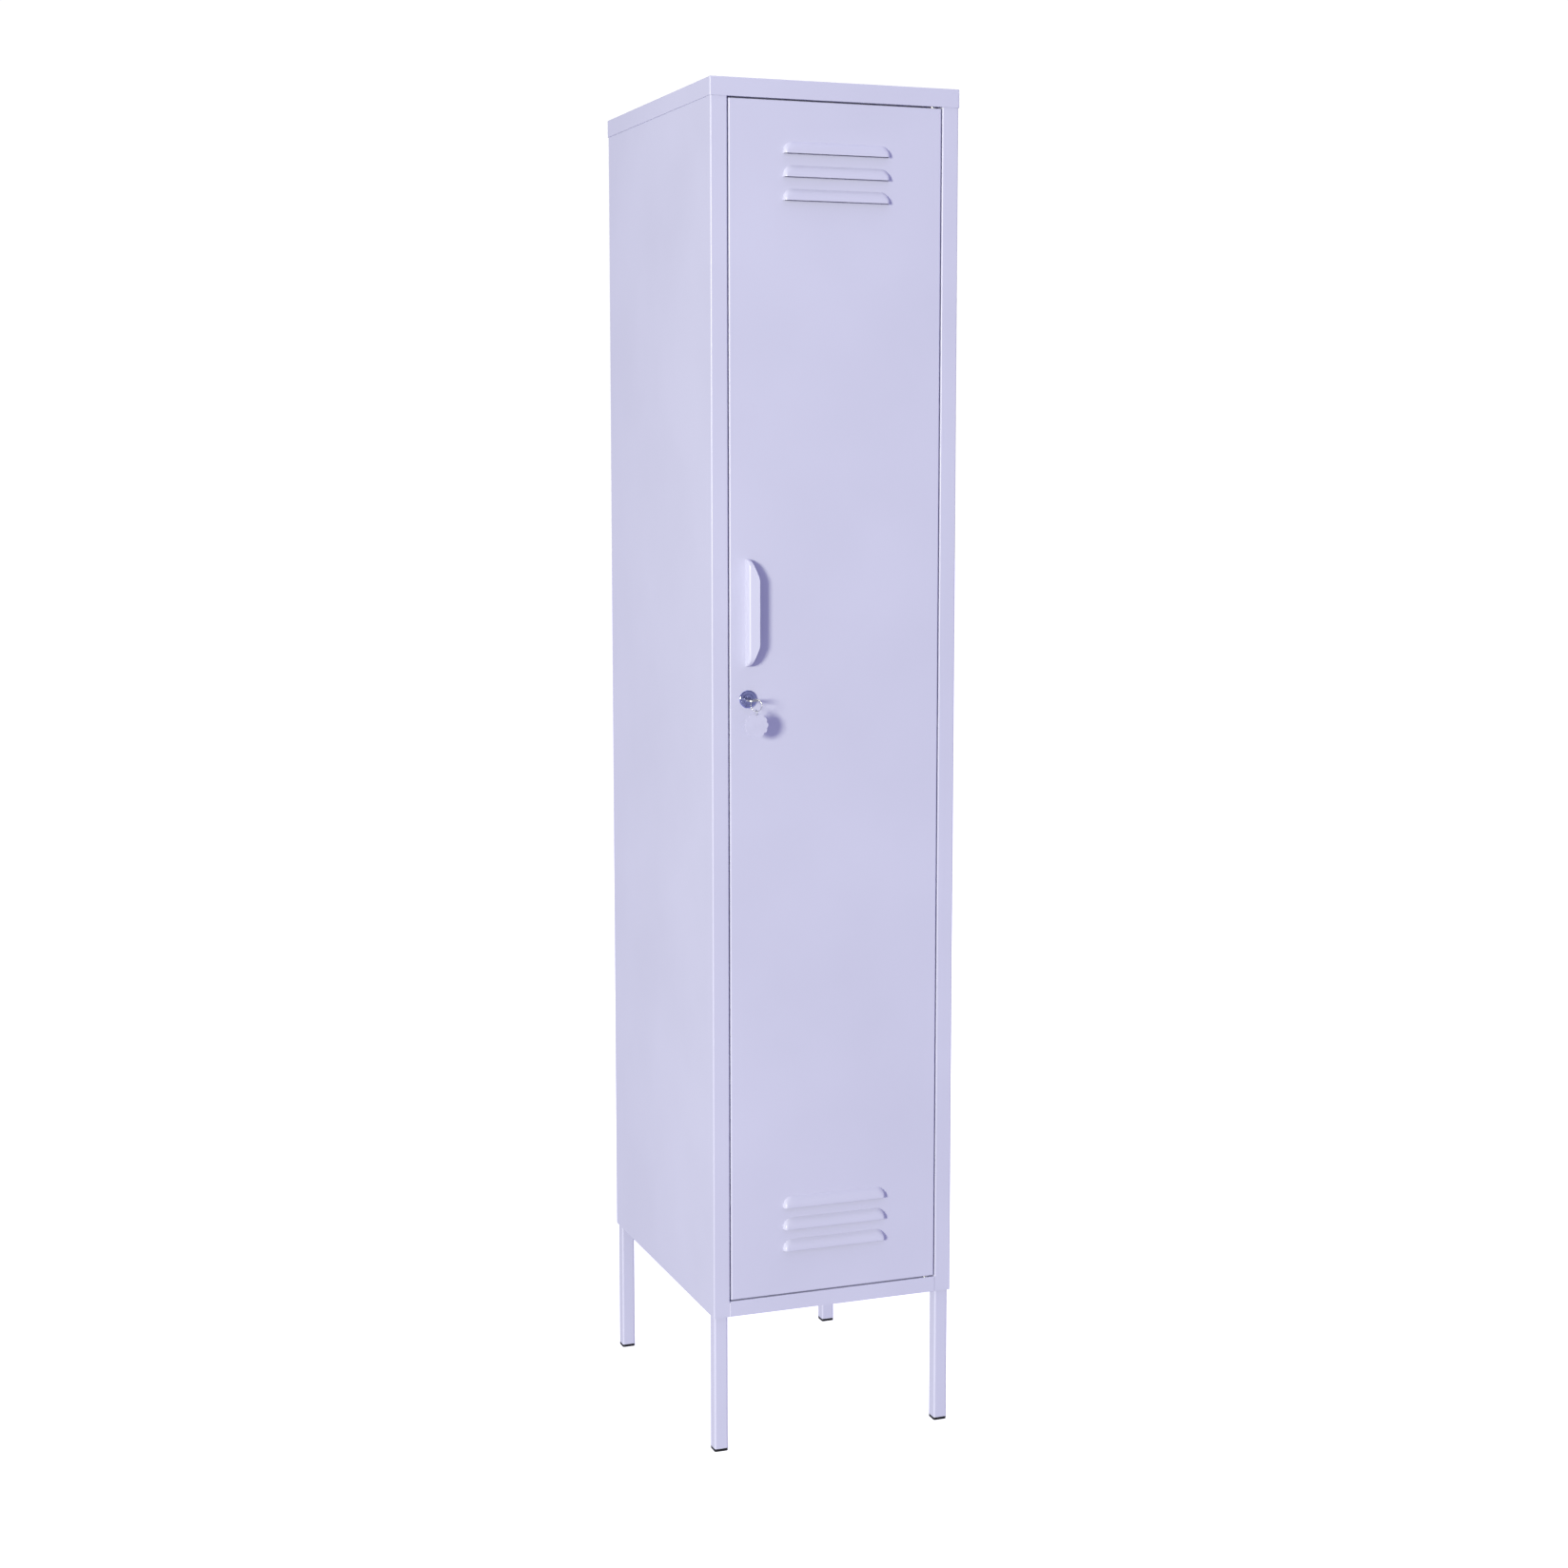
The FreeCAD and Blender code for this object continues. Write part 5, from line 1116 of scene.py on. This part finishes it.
SLOT_PITCH = 50 * MM
SLOT_WIDTH = 9 * MM
SLOT_HEIGHT = 4 * MM
stacked = stack_tree()
for place in ("front_left", "front_right", "rear_left", "rear_right"):
    low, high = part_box("shelf_upright_" + place)
    way = 1 if place.endswith("left") else -1
    web = high.x if way > 0 else low.x
    deep = high.x - low.x
    wide = (high.y - low.y) / 2
    line = [(-deep, -wide)]
    for side in (-1, 1):
        centre = (-BEND, side * (wide - BEND))
        turns = [math.radians(side * degrees) for degrees in (90, 60, 30, 0)]
        bend_line = [(centre[0] + BEND * math.cos(turn), centre[1] + BEND * math.sin(turn))
                     for turn in turns]
        slot = [(0, -SLOT_WIDTH / 2), (0, SLOT_WIDTH / 2)]
        line += bend_line if side < 0 else [*slot, *reversed(bend_line)]
    line.append((-deep, wide))
    heights = [0, (SLOT_PITCH - SLOT_HEIGHT) / 2, (SLOT_PITCH + SLOT_HEIGHT) / 2, SLOT_PITCH]
    form = bmesh.new()
    grid = [[form.verts.new((web + way * x, (low.y + high.y) / 2 + y, low.z + z)) for x, y in line]
            for z in heights]
    slot_column = line.index((0, -SLOT_WIDTH / 2))
    for j in range(len(heights) - 1):
        for i in range(len(line) - 1):
            if not (j == 1 and i == slot_column):
                form.faces.new((grid[j][i], grid[j][i + 1], grid[j + 1][i + 1], grid[j + 1][i]))
    if way < 0:
        bmesh.ops.reverse_faces(form, faces=form.faces)
    piece = object_from(form, "slotted_upright_" + place)
    grown(piece, stacked, powder_coat, Pitch=SLOT_PITCH, Count=int((high.z - low.z) / SLOT_PITCH))
    given_wall(piece, SHEET)
    worked_in(piece)
    finished(smoothed(piece), "cabinet", "powder_coat", "shelf_upright_" + place)

# %% [markdown]
# The studio is plain. A warm key light stands far off at the front left, low enough to light the
# door and the left side alike. The room's own light is a cool, even glow, which turns shadows
# violet on the lilac coat. Polished metal mirrors a room of its own, dark above and pale below,
# or the chrome would look like plaster. The background is white, and the pale floor glows enough
# to meet it without a line.

# %% Floor and room
FLOOR_RADIUS = 30.0
floor_form = bmesh.new()
bmesh.ops.create_circle(floor_form, cap_ends=True, segments=64, radius=FLOOR_RADIUS)
studio_floor = object_from(floor_form, "studio_floor")
floor_finish = bpy.data.materials.new("pale_studio_floor")
floor_finish.use_nodes = True
floor_tree = floor_finish.node_tree
floor_tree.nodes.clear()
floor_shader = add(floor_tree, "ShaderNodeBsdfPrincipled", {
    "Base Color": linear("#F1F1F4"), "Roughness": 0.9, "Specular IOR Level": 0.1,
    "Emission Color": linear("#FFFFFF"), "Emission Strength": 0.72})
add(floor_tree, "ShaderNodeOutputMaterial", {"Surface": floor_shader.outputs["BSDF"]})
studio_floor.data.materials.append(floor_finish)
studio_floor.visible_diffuse = False
studio_floor.visible_glossy = False

world = bpy.data.worlds.new("studio_room")
bpy.context.scene.world = world
world.use_nodes = True
room = world.node_tree
room.nodes.clear()
ray = add(room, "ShaderNodeLightPath")
glow = add(room, "ShaderNodeBackground", {"Color": linear("#CECBF6"), "Strength": 0.64})
way_out = add(room, "ShaderNodeTexCoord").outputs["Generated"]
height = add(room, "ShaderNodeSeparateXYZ", {0: way_out}).outputs["Z"]
level = add(room, MATH, {0: height, 1: 0.5}, operation="MULTIPLY_ADD")
wall = add(room, "ShaderNodeValToRGB", {"Fac": level})
wall.color_ramp.elements[0].color = linear("#D4D5EA")
wall.color_ramp.elements[1].color = linear("#2C2E50")
mirrored = add(room, "ShaderNodeBackground", {"Color": wall.outputs["Color"], "Strength": 0.95})
white = add(room, "ShaderNodeBackground", {"Color": linear("#FFFFFF"), "Strength": 1.05})
soft = add(room, "ShaderNodeMixShader", {"Fac": ray.outputs["Is Glossy Ray"], 1: glow,
                                         2: mirrored})
seen = add(room, "ShaderNodeMixShader", {"Fac": ray.outputs["Is Camera Ray"], 1: soft,
                                         2: white})
add(room, "ShaderNodeOutputWorld", {"Surface": seen})


# %% [markdown]
# Three square panels light it. The size of a panel sets how soft its shadows are: the key panel
# is small for its distance, so the pull and the tag cast a clear shadow, and the other two panels
# only lift the top and the back.

# %% Lights
def area_light(name, place, target, size, watts, hex_colour):
    """A square panel that faces its target."""
    light = bpy.data.lights.new(name, "AREA")
    light.energy = watts
    light.size = size
    light.color = linear(hex_colour)[:3]
    holder = bpy.data.objects.new(name, light)
    holder.location = place
    aim = Vector(target) - Vector(place)
    holder.rotation_euler = aim.to_track_quat("-Z", "Y").to_euler()
    bpy.context.scene.collection.objects.link(holder)


locker_middle = (cad_low + cad_high) / 2
for name, offset, size, watts, hex_colour in (
        ("key_panel", (-7.55, -6.45, 1.3), 1.8, 915, "#FEFFE2"),
        ("top_panel", (0.3, -0.4, 3.6), 2.4, 20, "#F4F4FF"),
        ("rear_panel", (2.6, 3.4, 1.2), 1.6, 30, "#F0F0FF")):
    area_light(name, locker_middle + Vector(offset), locker_middle, size, watts, hex_colour)

# %% [markdown]
# The camera stands at the front left, a little above the middle of the door, with a short
# telephoto lens, and looks down slightly.

# %% Camera
LOOKS_DOWN = 6.3679
LOOKS_RIGHT = 20.4771
camera = bpy.data.objects.new("camera", bpy.data.cameras.new("camera"))
camera.data.sensor_width = 36.0
camera.data.lens = 57.26
camera.data.shift_y = -0.03
camera.location = (-1.2259, -3.3014, 1.3436)
camera.rotation_euler = (math.radians(90 - LOOKS_DOWN), 0, math.radians(-LOOKS_RIGHT))
bpy.context.scene.collection.objects.link(camera)
bpy.context.scene.camera = camera
bpy.context.scene.view_settings.view_transform = "Standard"
